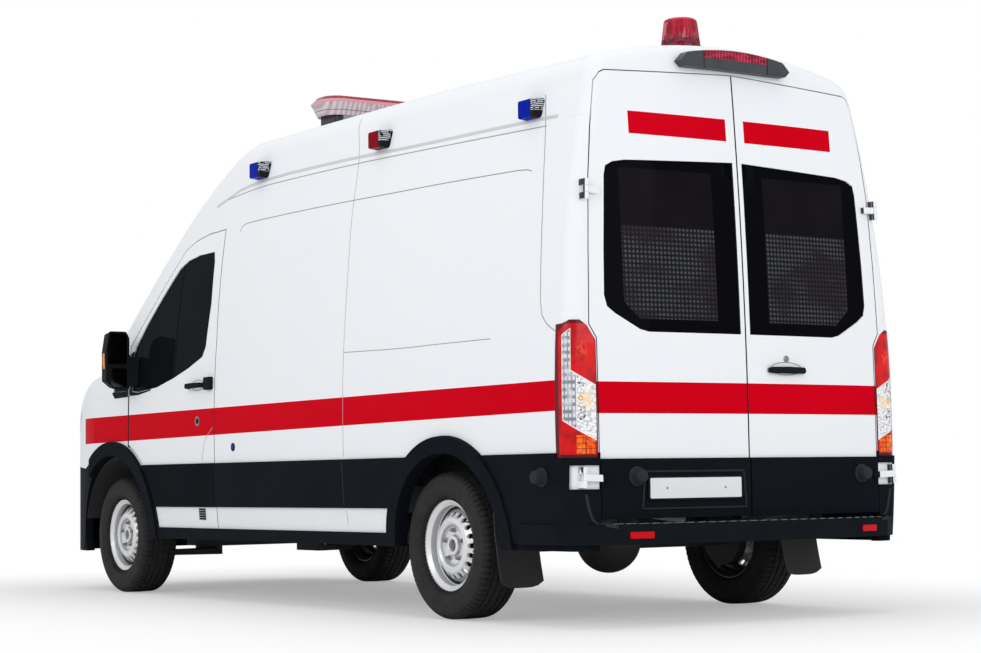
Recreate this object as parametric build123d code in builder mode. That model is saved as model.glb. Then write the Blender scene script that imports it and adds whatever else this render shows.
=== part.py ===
from build123d import *
import math
import os

os.makedirs("parts", exist_ok=True)

# Millimetres. +X forward, +Y to the vehicle's left, +Z up; the ground is Z = 0.

# ---- driving sizes -----------------------------------------------------------
overallHalf = 2990.5        # half of the 5981 overall length
bodyHalf = 1029.5           # half width at the widest line of the flanks
widestZ = 980.0
sideRadius = 6410.0         # tumblehome of the flanks
roofZ = 2740.0
roofRadius = 2900.0
roofCorner = 170.0
cornerRound = 50.0          # windscreen pillars and bonnet shoulders
rearRound = 75.0            # rear corners and the roof's rear edge
taperX = -1500.0            # behind this the flanks and the roof draw in
tailTaper = 1.2             # degrees
rearAxisX = 7115.0          # the bowed rear face is turned about this upright axis
hullBottom = 250.0
noseAxisX = -1500.0         # the nose is turned about this upright line
wall = 50.0                 # doors, panels and roof
skin = 12.0                 # mouldings laid over the panels
archLip = 24.0              # wheel-arch mouldings stand out this far
seat = 0.3                  # between a piece and what it sits on
doorGap = 6.0               # round every door

frontAxleX = 1967.5
rearAxleX = -1782.5
frontTrack = 1732.0
rearTrack = 1743.0
tyreRadius = 356.0
tyreHalf = 117.5
rimRadius = 203.0
wheelZ = tyreRadius
kingpinY = 715.0
kingpinR = 18.0
spindleR = 30.0
ventRing, ventR = 149.0, 13.0    # the ring of round holes in a wheel disc
runningFit = 0.05
arches = {                  # centre x, centre z, opening radius, moulding radius
    "front": (1960.0, 345.0, 505.0, 590.0),
    "rear": (-1840.0, 345.0, 455.0, 537.0),
}

sillZ = 346.0
sillTop = 418.0
bandLow = 534.0
bandTop = 785.0
gutterZ = 2320.0
beltZ = 1215.0
cowlX = 2250.0
doorRearX = 580.0
doorFrontX = 1743.0
wingX = 1751.0
bumperX = 2300.0

floorTop = 690.0
floorThick = 50.0
cabFloorTop = 530.0
firewallX = 1440.0
bulkheadX = 500.0

rearDoorLow = 487.0
# each rear hinge: its pin's point on the leaning axis, the door's edge and outer face beside it
rearHinges = [((-2866.0, 940.0, 674.0), 842.0, -2852.0), ((-2838.0, 885.0, 1971.0), 854.0, -2817.0)]
rearPinR = 8.0

frontPinX = 1733.0          # the front doors turn about the centre of their rounded leading edge
doorNoseR = 10.0

bonnetRearX = 2274.0
bonnetPinX = 2288.0
bonnetPinZ = 1356.0
bonnetPinR = 5.0
bonnetHingeY = 300.0

noseProfile = [
    (2921, 300), (2971, 400), (2985.5, 560), (2958, 880), (2870, 1085), (2630, 1265), (2330, 1370),
    (cowlX, 1392), (1400, 2130), (1005, 2432), (560, 2672), (290, 2747), (0, 2775),
]
planProfile = [(2000, 1032), (2420, 1008), (2720, 925), (2890, 780), (2955, 560)]
rearProfile = [(-2868, -150), (-2885, 1000), (-2769, 3000)]


def shifted(points, gap):
    # every point moves square to the line through its neighbours
    out = []
    for i, p in enumerate(points):
        a = points[max(i - 1, 0)]
        b = points[min(i + 1, len(points) - 1)]
        dx, dz = b[0] - a[0], b[1] - a[1]
        n = math.hypot(dx, dz)
        out.append((p[0] + gap * dz / n, p[1] - gap * dx / n))
    return out


def bodyHull(inset):
    # the whole outer form of the body, drawn in by inset on every side
    inner = inset > 20
    half, top = bodyHalf - inset, roofZ - inset
    low = hullBottom - (300 if inner else 0)
    sideR, roofR = sideRadius - inset, roofRadius - inset

    def flank(z):
        return half - (sideR - math.sqrt(sideR**2 - (z - widestZ) ** 2))

    cornerY, cornerZ = 800.0, 2600.0
    for _ in range(40):
        cornerY = flank(cornerZ)
        cornerZ = top - (roofR - math.sqrt(roofR**2 - cornerY**2))
    nose = shifted(noseProfile, -inset)
    plan = shifted(planProfile, inset)
    rear = shifted(rearProfile, inset)
    with BuildPart() as hull:
        with BuildSketch(Plane.YZ.offset(taperX)) as section:
            with BuildLine():
                Line((-flank(low), low), (flank(low), low))
                ThreePointArc((flank(low), low), (flank(1400), 1400), (cornerY, cornerZ))
                ThreePointArc((cornerY, cornerZ), (0, top), (-cornerY, cornerZ))
                ThreePointArc((-cornerY, cornerZ), (-flank(1400), 1400), (-flank(low), low))
            make_face()
            fillet([v for v in vertices() if v.Y > 2000], roofCorner - inset)
        extrude(amount=3200 - taperX)
        extrude(section.sketch, amount=-1700, taper=tailTaper)
        with BuildSketch(Plane.XZ):
            with BuildLine():
                Polyline((noseAxisX, 3000), (noseAxisX, low - 50), (nose[0][0], low - 50), nose[0])
                ThreePointArc(*nose[0:3])
                ThreePointArc(*nose[2:5])
                ThreePointArc(*nose[4:7])
                Line(*nose[6:8])
                Line(*nose[7:9])
                ThreePointArc(*nose[8:11])
                ThreePointArc(*nose[10:13])
                Polyline(nose[12], (-400, 3000), (noseAxisX, 3000))
            make_face()
        revolve(axis=Axis((noseAxisX, 0, 0), (0, 0, 1)), mode=Mode.INTERSECT)
        # drawn on the far side of its axis, so that the turned face has no seam at the rear
        with BuildSketch(Plane.XZ):
            with BuildLine():
                far = [(2 * rearAxisX - x, z) for x, z in rear]
                ThreePointArc(*far)
                Polyline(far[2], (rearAxisX, far[2][1]), (rearAxisX, far[0][1]), far[0])
            make_face()
        revolve(axis=Axis((rearAxisX, 0, 0), (0, 0, 1)), mode=Mode.INTERSECT)
        with BuildSketch(Plane.XY.offset(-200)):
            with BuildLine():
                Polyline((3100, 0), (-3100, 0), (-3100, plan[0][1]), plan[0])
                ThreePointArc(*plan[0:3])
                ThreePointArc(*plan[2:5])
                Polyline(plan[4], (3100, plan[4][1] - 200), (3100, 0))
            make_face()
            mirror(about=Plane.XZ)
        extrude(amount=3300, mode=Mode.INTERSECT)
        if not inner:
            fillet([e for e in hull.edges() if e.center().X < -2700 and e.center().Z > 300], rearRound - inset)
            fillet([e for e in hull.edges() if abs(e.center().Y) > 700 and 1100 < e.center().Z < 2500
                    and e.center().X > 880], cornerRound)
    return hull.part


def sidePrism(points, y0, y1, grow=0.0):
    # an XZ outline pushed across the vehicle from y0 to y1
    with BuildPart() as prism:
        with BuildSketch(Plane.XZ.offset(-y0)):
            with BuildLine():
                Polyline(*points, close=True)
            make_face()
            if grow:
                offset(amount=grow, kind=Kind.INTERSECTION)
        extrude(amount=-(y1 - y0))
    return prism.part


def rearPrism(points, x0, x1, grow=0.0):
    # a YZ outline pushed along the vehicle from x0 to x1
    with BuildPart() as prism:
        with BuildSketch(Plane.YZ.offset(x0)):
            with BuildLine():
                Polyline(*points, close=True)
            make_face()
            if grow:
                offset(amount=grow, kind=Kind.INTERSECTION)
        extrude(amount=x1 - x0)
    return prism.part


def disc(x, z, radius, y0, y1):
    with BuildPart() as roundBlock:
        with BuildSketch(Plane.XZ.offset(-y0)):
            with Locations((x, z)):
                Circle(radius)
        extrude(amount=-(y1 - y0))
    return roundBlock.part


def block(x0, x1, y0, y1, z0, z1):
    with BuildPart() as box:
        with Locations(((x0 + x1) / 2, (y0 + y1) / 2, (z0 + z1) / 2)):
            Box(x1 - x0, y1 - y0, z1 - z0)
    return box.part


def across(part):
    # the same piece on the other side
    return mirror(part, about=Plane.XZ)


outer = bodyHull(0)
inner = bodyHull(wall)
over = bodyHull(-skin)
near = bodyHull(-seat)
lipHull = bodyHull(-archLip)
with BuildPart() as shell:
    add(outer)
    add(inner, mode=Mode.SUBTRACT)
with BuildPart() as overSkin:
    add(over)
    add(near, mode=Mode.SUBTRACT)
with BuildPart() as lipSkin:
    add(lipHull)
    add(near, mode=Mode.SUBTRACT)
# the doors carry their cladding in one piece, so theirs starts at the panel itself
with BuildPart() as doorSkin:
    add(over)
    add(bodyHull(1.0), mode=Mode.SUBTRACT)
with BuildPart() as glassSkin:
    add(bodyHull(8.0))
    add(bodyHull(13.0), mode=Mode.SUBTRACT)

# ---- outlines ----------------------------------------------------------------
frontDoor = [
    (doorRearX, 352), (doorRearX, 1500), (620, 2133), (822, 2126), (987, 2098), (1109, 2055),
    (doorFrontX, 1511), (doorFrontX, 352),
]
frontWindow = [
    (684, 1709), (702, 1955), (722, 2015), (917, 2012), (1065, 1990), (1165, 1950), (1352, 1800), (1540, 1640),
    (1672, 1512), (1690, 1480), (1690, 1240), (1605, 1232), (1347, 1249), (1122, 1294), (926, 1344), (750, 1402),
    (712, 1459),
]
quarterPane = [(1775, 1245), (1775, 1450), (1960, 1290), (1975, 1245)]
slidingDoor = [(-874, 400), (-874, 2120), (480, 2120), (480, 400)]
slidingWindow = [(-760, 1340), (-760, 1980), (370, 1980), (370, 1340)]
rearDoor = [(4, rearDoorLow), (842, rearDoorLow), (842, 1300), (880, 1362), (869, 1694), (851, 2037), (824, 2269),
            (788, 2481), (758, 2520), (733, 2532), (4, 2566)]
rearOpening = [(-847, 300), (847, 300), (847, 1298), (885, 1361), (874, 1694), (856, 2038), (829, 2271), (792, 2484),
               (761, 2525), (734, 2538), (0, 2571), (-734, 2538), (-761, 2525), (-792, 2484), (-829, 2271),
               (-856, 2038), (-874, 1694), (-885, 1361), (-847, 1298)]
rearWindow = [(28, 1332), (560, 1332), (609, 1343), (742, 1413), (783, 1443), (797, 1493), (790, 1698), (770, 2042),
              (759, 2088), (720, 2109), (649, 2121), (28, 2146)]
windscreenOutline = [(-800, 1435), (800, 1435), (765, 1800), (712, 2150), (690, 2190), (-690, 2190), (-712, 2150),
                     (-765, 1800)]
tailLampOutline = [(852, 763), (1100, 763), (1100, 1300), (1017, 1342), (971, 1379), (932, 1379), (896, 1355),
                   (852, 1290)]
lampFrontX = -2741.0

# ---- body panels -------------------------------------------------------------
fx, fz, frontOpen, frontLip = arches["front"]
rx, rz, rearOpen, rearLip = arches["rear"]
sideRegion = [(-3000, sillZ), (doorRearX - doorGap, sillZ), (doorRearX - doorGap, 1500), (614, 2139), (620, 2139),
              (620, gutterZ - seat), (-3000, gutterZ - seat)]
lampRecess = rearPrism(tailLampOutline, -3000, lampFrontX + seat, seat)


def sidePanel(side):
    with BuildPart() as panel:
        add(shell.part)
        add(sidePrism(sideRegion, 0, 1200), mode=Mode.INTERSECT)
        add(rearPrism(rearOpening, -3100, -2700), mode=Mode.SUBTRACT)
        add(disc(rx, rz, rearOpen, 0, 1200), mode=Mode.SUBTRACT)
        add(lampRecess, mode=Mode.SUBTRACT)
        if side < 0:
            add(sidePrism(slidingDoor, 0, 1200, doorGap), mode=Mode.SUBTRACT)
        # lugs and pins of the two rear door hinges
        for pin, edgeY, faceX in rearHinges:
            add(hingeLug(pin), mode=Mode.ADD)
    return panel.part if side > 0 else across(panel.part)


def hingePlane(pin, up):
    # square to the leaning hinge axis, so far above the pin's own point
    low, high = rearHinges[0][0], rearHinges[1][0]
    plane = Plane(origin=pin, x_dir=(1, 0, 0), z_dir=tuple(h - l for h, l in zip(high, low)))
    return plane.offset(up)


def hingeLug(pin):
    with BuildPart() as lug:
        for up in (-46, 16):
            with BuildSketch(hingePlane(pin, up)):
                with BuildLine():
                    Polyline((-5, 12), (16, 14), (58, 8), (58, -22), (34, -24), (8, -12), close=True)
                make_face()
                Circle(13)
            extrude(amount=30)
        with BuildSketch(hingePlane(pin, -46)):
            Circle(rearPinR)
        extrude(amount=92)
        add(inner, mode=Mode.SUBTRACT)
    return lug.part


def hingeStrap(pin, edgeY, faceX):
    face, edge = faceX - pin[0], edgeY - pin[1]
    with BuildPart() as strap:
        with BuildSketch(hingePlane(pin, -15)):
            with BuildLine():
                Polyline((-12, 4), (face - 22, edge + 8), (face - 22, edge - 42), (face + 15, edge - 42),
                         (face + 15, edge - 2), (face - 7, edge - 2), (face - 7, edge + 8), (9, -9), close=True)
            make_face()
            Circle(13)
            Circle(rearPinR + runningFit, mode=Mode.SUBTRACT)
        extrude(amount=30)
    return strap.part


sidePanelLeft = sidePanel(1)
sidePanelRight = sidePanel(-1)

with BuildPart() as roofHighTop:
    add(shell.part)
    add(block(-3100, 3100, -1200, 1200, gutterZ, 3000), mode=Mode.INTERSECT)
    add(rearPrism(rearOpening, -3100, -2700), mode=Mode.SUBTRACT)

pillarRegion = [(620.3, gutterZ - seat), (620.3, 2139), (823, 2132), (989, 2104), (1113, 2060), (wingX, 1517),
                (wingX, beltZ + seat), (cowlX - seat, beltZ + seat), (cowlX - seat, 2319.7)]
with BuildPart() as cabPillars:
    add(shell.part)
    add(sidePrism(pillarRegion, -1200, 1200), mode=Mode.INTERSECT)
    add(rearPrism(windscreenOutline, 900, 2400), mode=Mode.SUBTRACT)
    add(sidePrism(quarterPane, -1200, 1200), mode=Mode.SUBTRACT)
    # bonnet hinge arms under the scuttle, each with its pin
    for side in (1, -1):
        for offset_ in (-12, 12):
            with BuildSketch(Plane.XZ.offset(-(side * bonnetHingeY + offset_) + 4)):
                with BuildLine():
                    Polyline((bonnetPinX - 7, bonnetPinZ), (bonnetPinX + 7, bonnetPinZ), (bonnetPinX + 7, 1322),
                             (2215, 1322), (2215, 1362), (2247, 1362), (bonnetPinX - 16, 1338),
                             (bonnetPinX - 9, 1342), close=True)
                make_face()
                with Locations((bonnetPinX, bonnetPinZ)):
                    Circle(9)
            extrude(amount=-8)
        with BuildSketch(Plane.XZ.offset(-side * bonnetHingeY + 16)):
            with Locations((bonnetPinX, bonnetPinZ)):
                Circle(bonnetPinR)
        extrude(amount=-32)

headlampOutline = [(3100, 838), (2905, 838), (2740, 930), (2560, 1120), (2600, 1152), (2880, 1088), (3100, 1030)]
bonnetOutline = [(bonnetRearX, 1150), (2300, 1150), (2600, 1160), (2880, 1096), (3000, 1096), (3000, 1500),
                 (bonnetRearX, 1500)]
bonnetHalf = 800.0
grilleHalf = 525.0
bumperTop = [(bumperX, 200), (bumperX, 826), (2450, 775), (2700, 787), (3100, 787), (3100, 200)]

with BuildPart() as bonnet:
    add(shell.part)
    add(sidePrism(bonnetOutline, -bonnetHalf, bonnetHalf), mode=Mode.INTERSECT)
    # a pocket under the rear edge for each hinge, with the barrel hung from the skin above it
    for side in (1, -1):
        low, high = sorted((side * (bonnetHingeY - 25), side * (bonnetHingeY + 25)))
        add(sidePrism([(2250, 1280), (2250, 1383), (2320, 1364), (2320, 1280)], low, high), mode=Mode.SUBTRACT)
        with BuildSketch(Plane.XZ.offset(-side * bonnetHingeY + 6)):
            with Locations((bonnetPinX, bonnetPinZ)):
                Circle(12)
            with Locations((bonnetPinX, bonnetPinZ + 10)):
                Rectangle(12, 22)
            with Locations((bonnetPinX, bonnetPinZ)):
                Circle(bonnetPinR + runningFit, mode=Mode.SUBTRACT)
        extrude(amount=-12)

with BuildPart() as wingLeft:
    add(sidePrism([(wingX, sillZ), (wingX, beltZ), (cowlX, beltZ), (cowlX, 1600), (3100, 1600), (3100, sillZ)], 0, 1200))
    add(disc(fx, fz, frontLip, 0, 1200))
    add(shell.part, mode=Mode.INTERSECT)
    add(block(0, 3100, 0, 1200, 0, sillZ), mode=Mode.SUBTRACT)
    add(disc(fx, fz, frontOpen, 0, 1200), mode=Mode.SUBTRACT)
    add(sidePrism(bonnetOutline, -bonnetHalf, bonnetHalf, 5.0), mode=Mode.SUBTRACT)
    add(block(2200, 3100, 0, bonnetHalf + 5, 1090, 1600), mode=Mode.SUBTRACT)
    add(sidePrism(headlampOutline, grilleHalf - 1, 1200, seat), mode=Mode.SUBTRACT)
    add(sidePrism(bumperTop, 0, 1200, seat), mode=Mode.SUBTRACT)
    add(block(2500, 3100, -10, grilleHalf + seat, 0, 1600), mode=Mode.SUBTRACT)
with BuildPart() as frontWings:
    add(wingLeft.part)
    add(across(wingLeft.part))

with BuildPart() as headlamps:
    add(shell.part)
    add(sidePrism(headlampOutline, grilleHalf, 1200), mode=Mode.INTERSECT)
    add(across(headlamps.part))

with BuildPart() as grille:
    add(shell.part)
    add(block(2700, 3100, -grilleHalf, grilleHalf, 787 + seat, 1088), mode=Mode.INTERSECT)
    # open slots between the bars
    for row in range(5):
        with Locations((2900, 0, 826 + row * 50)):
            Box(400, 940, 28, mode=Mode.SUBTRACT)

with BuildPart() as frontBumper:
    add(shell.part)
    add(sidePrism(bumperTop, -1200, 1200), mode=Mode.INTERSECT)
    add(disc(fx, fz, frontOpen, -1200, 1200), mode=Mode.SUBTRACT)
    # the lower lip reaches the overall length
    with BuildSketch(Plane.XY.offset(420)):
        with BuildLine():
            ThreePointArc((2880, 640), (overallHalf, 0), (2880, -640))
            Polyline((2880, -640), (2800, -640), (2800, 640), (2880, 640))
        make_face()
    extrude(amount=130)
    add(inner, mode=Mode.SUBTRACT)

# ---- front doors -------------------------------------------------------------
with BuildPart() as frontPanel:
    add(shell.part)
    add(sidePrism(frontDoor, 500, 1200), mode=Mode.INTERSECT)
    add(disc(fx, fz, frontLip + 3 * doorGap, 0, 1200), mode=Mode.SUBTRACT)
    fillet([e for e in frontPanel.edges() if e.center().X > doorFrontX - 1 and e.center().Y > 990
            and e.length > 300], doorNoseR)
    add(sidePrism(frontWindow, 500, 1200), mode=Mode.SUBTRACT)
with BuildPart() as doorBand:
    add(doorSkin.part)
    add(sidePrism(frontDoor, 500, 1200), mode=Mode.INTERSECT)
    add(block(0, 2000, 500, 1200, bandLow, bandTop), mode=Mode.INTERSECT)
with BuildPart() as frontDoorLeft:
    add(frontPanel.part)
    add(doorBand.part)
    add(disc(fx, fz, frontLip + 3 * doorGap, 0, 1200), mode=Mode.SUBTRACT)
frontDoorRight = across(frontDoorLeft.part)

with BuildPart() as frontGlassLeft:
    add(glassSkin.part)
    add(sidePrism(frontWindow, 500, 1200, -seat), mode=Mode.INTERSECT)
frontGlassRight = across(frontGlassLeft.part)

with BuildPart() as windscreen:
    add(glassSkin.part)
    add(rearPrism(windscreenOutline, 900, 2400, -seat), mode=Mode.INTERSECT)
with BuildPart() as quarterGlass:
    add(glassSkin.part)
    add(sidePrism(quarterPane, -1200, 1200, -seat), mode=Mode.INTERSECT)
with BuildPart() as slidingGlass:
    add(glassSkin.part)
    add(sidePrism(slidingWindow, -1200, -500, -seat), mode=Mode.INTERSECT)
with BuildPart() as fixedGlass:
    add(windscreen.part)
    add(quarterGlass.part)
    add(slidingGlass.part)

# ---- sliding side door, on the right -----------------------------------------
with BuildPart() as slidingPanel:
    add(shell.part)
    add(sidePrism(slidingDoor, -1200, -500), mode=Mode.INTERSECT)
    add(sidePrism(slidingWindow, -1200, -500), mode=Mode.SUBTRACT)
with BuildPart() as slidingBand:
    add(doorSkin.part)
    add(sidePrism(slidingDoor, -1200, -500), mode=Mode.INTERSECT)
    add(block(-1000, 600, -1200, -500, bandLow, bandTop), mode=Mode.INTERSECT)
with BuildPart() as slidingDoorRight:
    add(slidingPanel.part)
    add(slidingBand.part)

# ---- rear doors --------------------------------------------------------------
with BuildPart() as rearPanel:
    add(shell.part)
    add(rearPrism(rearDoor, -3100, -2700), mode=Mode.INTERSECT)
    add(rearPrism(rearWindow, -3100, -2700), mode=Mode.SUBTRACT)
with BuildPart() as rearBand:
    add(doorSkin.part)
    add(rearPrism(rearDoor, -3100, -2700), mode=Mode.INTERSECT)
    add(block(-3100, -2700, 0, 1200, rearDoorLow, 757), mode=Mode.INTERSECT)
with BuildPart() as rearDoorLeft:
    add(rearPanel.part)
    add(rearBand.part)
    for pin, edgeY, faceX in rearHinges:
        add(hingeStrap(pin, edgeY, faceX))
rearDoorRight = across(rearDoorLeft.part)

with BuildPart() as rearGlassLeft:
    add(glassSkin.part)
    add(rearPrism(rearWindow, -3100, -2700, -seat), mode=Mode.INTERSECT)
rearGlassRight = across(rearGlassLeft.part)

# ---- mouldings and bumpers ---------------------------------------------------
bumperStart, bumperLow, stepZ = -2445.0, 374.0, 465.0       # rear bumper: front ends, underside, step
bandRows = [                # x from, x to, z from, z to, side (1 left, -1 right)
    (bumperStart + seat, doorRearX - doorGap, bandLow, bandTop, 1),
    (bumperStart + seat, -880, bandLow, bandTop, -1),
    (bumperStart + seat, -2300, bumperLow, bandLow, 1),
    (bumperStart + seat, -2300, bumperLow, bandLow, -1),
    (486, doorRearX - doorGap, bandLow, bandTop, -1),
    (-1380, 1380, sillZ, sillTop - 6, 1),
    (-1380, 1380, sillZ, sillTop - 24, -1),
]
with BuildPart() as bands:
    for x0, x1, z0, z1, side in bandRows:
        low, high = (500, 1200) if side > 0 else (-1200, -500)
        add(block(x0, x1, low, high, z0, z1))
with BuildPart() as bandSkin:
    add(overSkin.part)
    add(bands.part, mode=Mode.INTERSECT)
with BuildPart() as rings:
    add(disc(fx, fz, frontLip, -1200, 1200))
    add(disc(rx, rz, rearLip, -1200, 1200))
with BuildPart() as ringSkin:
    add(lipSkin.part)
    add(rings.part, mode=Mode.INTERSECT)
    add(block(-3000, 3000, -1200, 1200, 0, sillZ), mode=Mode.SUBTRACT)
    add(block(bumperX - seat, 3000, -1200, 1200, 0, 3000), mode=Mode.SUBTRACT)
with BuildPart() as sideMouldings:
    add(bandSkin.part)
    add(disc(rx, rz, rearLip - 1, -1200, 1200), mode=Mode.SUBTRACT)
    add(disc(fx, fz, frontLip - 1, -1200, 1200), mode=Mode.SUBTRACT)
    add(ringSkin.part)
    add(disc(rx, rz, rearOpen, -1200, 1200), mode=Mode.SUBTRACT)
    add(disc(fx, fz, frontOpen, -1200, 1200), mode=Mode.SUBTRACT)

with BuildPart() as cornerSkin:
    add(overSkin.part)
    add(block(-3100, bumperStart, -1200, 1200, bumperLow, bandTop), mode=Mode.INTERSECT)
with BuildPart() as bumperBeam:
    with BuildSketch(Plane.XY.offset(bumperLow)):
        with BuildLine():
            Polyline((bumperStart, 0), (bumperStart, bodyHalf + skin - 30), (-2745, bodyHalf + skin - 30),
                     (-2835, 958), (-2910, 850), (-2962, 640), (-overallHalf, 330), (-overallHalf, 0), close=True)
        make_face()
        fillet([v for v in vertices() if v.X < -2700 and v.Y > 600], 70)
        mirror(about=Plane.XZ)
    extrude(amount=stepZ - bumperLow)
    add(near, mode=Mode.SUBTRACT)
with BuildPart() as rearBumper:
    add(bumperBeam.part)
    add(cornerSkin.part)
    add(block(-3100, -2700, -847, 847, stepZ + 1, 1200), mode=Mode.SUBTRACT)
    add(disc(rx, rz, rearLip + seat, -1200, 1200), mode=Mode.SUBTRACT)
    for side in (1, -1):
        add(rearPrism([(side * p[0], p[1]) for p in tailLampOutline], -3100, lampFrontX + seat, seat), mode=Mode.SUBTRACT)
        # a pocket round each lower hinge
        add(block(-3100, -2770, side * 918 - 72, side * 918 + 72, 622, 728), mode=Mode.SUBTRACT)

# ---- lamps -------------------------------------------------------------------
with BuildPart() as lampShell:
    add(bodyHull(-3.0))
    add(inner, mode=Mode.SUBTRACT)
with BuildPart() as tailLeft:
    add(lampShell.part)
    add(rearPrism(tailLampOutline, -3100, lampFrontX), mode=Mode.INTERSECT)
with BuildPart() as highLamp:
    with BuildSketch(Plane.YZ.offset(-2852)):
        with BuildLine():
            Polyline((-335, 2608), (-308, 2582), (308, 2582), (335, 2608), (292, 2650))
            ThreePointArc((292, 2650), (0, 2678), (-292, 2650))
            Line((-292, 2650), (-335, 2608))
        make_face()
    extrude(amount=260)
    add(near, mode=Mode.SUBTRACT)
with BuildPart() as rearLamps:
    add(tailLeft.part)
    add(across(tailLeft.part))
    add(highLamp.part)

beaconX = -2440.0
with BuildPart() as roofBeacon:
    with BuildSketch(Plane.XZ):
        with BuildLine():
            Polyline((beaconX, 2700), (beaconX + 100, 2700), (beaconX + 100, 2772), (beaconX + 94, 2776),
                     (beaconX + 80, 2898), (beaconX + 70, 2905), (beaconX, 2905), close=True)
        make_face()
    revolve(axis=Axis((beaconX, 0, 0), (0, 0, 1)))
    add(near, mode=Mode.SUBTRACT)

barX, barDeep, barHalf, barCorner = 325.0, 300.0, 490.0, 125.0
barBase, barWaist, barTop = 2792.0, 2868.0, 2905.0
with BuildPart() as lightBar:
    for facing, rise, lean in ((1, barTop - barWaist, 45), (-1, barWaist - barBase, 28)):
        with BuildSketch(Plane((barX, 0, barWaist), x_dir=(1, 0, 0), z_dir=(0, 0, facing))):
            RectangleRounded(barDeep, 2 * barHalf, barCorner)
        extrude(amount=rise, taper=lean)
    # feet down to the roof
    for y in (-380, 380):
        with Locations((barX, y, 2745)):
            Box(160, 60, 110)
    add(near, mode=Mode.SUBTRACT)

markers = [(262.0, 872.0, 2438.0), (-1060.0, 872.0, 2433.0), (-2400.0, 852.0, 2396.0)]      # x, y and z
markerLong, markerTall, markerR = 150.0, 108.0, 24.0
with BuildPart() as markerLamps:
    for x, y, z in markers:
        for side in (1, -1):
            with BuildSketch(Plane.XZ.offset(-side * (y - 60))):
                with Locations((x, z)):
                    RectangleRounded(markerLong, markerTall, markerR)
            extrude(amount=-side * 112, taper=6)
    add(near, mode=Mode.SUBTRACT)

gearboxX = 1392.0

# ---- floor, bulkhead, cab ----------------------------------------------------
with BuildPart() as floorPan:
    with Locations(((-2810 + 560) / 2, 0, floorTop - floorThick / 2)):
        Box(560 + 2810, 1980, floorThick)
    with Locations(((560 + firewallX) / 2, 0, cabFloorTop - floorThick / 2)):
        Box(firewallX - 560 + 50, 1900, floorThick)
    with Locations((560, 0, (floorTop + cabFloorTop - floorThick) / 2)):
        Box(50, 1900, floorTop - cabFloorTop + floorThick)
    with Locations((firewallX + 25, 0, 940)):
        Box(50, 1900, 860)
    # boxes over the rear wheels
    for side in (1, -1):
        with Locations((rearAxleX - 30, side * 870, 790)):
            Box(1000, 300, 300)
    for side in (1, -1):
        with Locations((rearAxleX - 30, side * 900, 760)):
            Box(940, 300, 300, mode=Mode.SUBTRACT)
    # the bulkhead stands in a groove that ends the load floor
    with Locations((bulkheadX, 0, floorTop)):
        Box(40 + 2 * seat, 2200, 8, mode=Mode.SUBTRACT)
with BuildPart() as floorAndFirewall:
    add(floorPan.part)
    add(bodyHull(wall + seat), mode=Mode.INTERSECT)

with BuildPart() as bulkhead:
    with Locations((bulkheadX, 0, (floorTop - 4 + 2600) / 2)):
        Box(40, 2200, 2600 - floorTop + 4 - 2 * seat)
    add(bodyHull(wall + seat), mode=Mode.INTERSECT)
    with Locations((bulkheadX, 0, 1650)):
        Box(60, 700, 420, mode=Mode.SUBTRACT)

with BuildPart() as dashboard:
    with BuildSketch(Plane.XZ.offset(-880)):
        with BuildLine():
            Polyline((firewallX - seat, 900), (firewallX - seat, 1330), (1380, 1330), (1180, 1290), (1150, 1180),
                     (1240, 1080), (1300, 900), close=True)
        make_face()
    extrude(amount=1760)
with BuildPart() as steeringWheel:
    with Locations(Location((1060, 450, 1190), (0, -62, 0))):
        Torus(190, 15)
        Cylinder(52, 34)
        Box(380, 36, 16)
        with Locations((0, 0, -75)):
            Cylinder(26, 150)
    add(dashboard.part, mode=Mode.SUBTRACT)

seatRows = [(450.0, 520.0), (-420.0, 900.0)]     # centre y, width: driver, double passenger
with BuildPart() as cabSeats:
    for y, width in seatRows:
        with Locations((880, y, 700)):
            Box(420, width - 60, 2 * (700 - cabFloorTop) - 2 * seat)
        with Locations((890, y, 920)):
            Box(500, width, 140)
        with BuildSketch(Plane.XZ.offset(-(y + width / 2))):
            with BuildLine():
                Polyline((690, 900), (600, 1560), (720, 1580), (810, 960), close=True)
            make_face()
        extrude(amount=width)

with BuildPart() as engine:
    with Locations((1980, 0, 705)):
        Box(680, 560, 550)
    with Locations(((gearboxX + 1700) / 2, 0, 385)):
        Box(1700 - gearboxX, 280, 170)

# ---- chassis -----------------------------------------------------------------
railY = 520.0
springY = 520.0
frontRailY = 435.0
railTop = floorTop - floorThick - seat
cabRailTop = cabFloorTop - floorThick - seat
with BuildPart() as chassisRails:
    for side in (1, -1):
        with Locations(((-2800 + 500) / 2, side * railY, (500 + railTop) / 2)):
            Box(500 + 2800, 80, railTop - 500)
        with Locations((470, side * railY, (370 + railTop) / 2)):
            Box(60, 80, railTop - 370)
        with Locations(((440 + 1380) / 2, side * railY, (370 + cabRailTop) / 2)):
            Box(1380 - 440, 80, cabRailTop - 370)
        with Locations(((1300 + 2880) / 2, side * frontRailY, 430)):
            Box(2880 - 1300, 70, 99.4)
    with Locations((1340, 0, (400 + cabRailTop) / 2)):
        Box(80, 1120, cabRailTop - 400)
    for x in (-2700, -1200, 200):
        with Locations((x, 0, 560)):
            Box(60, 2 * railY, 80)
    with Locations((900, 0, 440)):
        Box(60, 2 * railY, 60)
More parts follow.
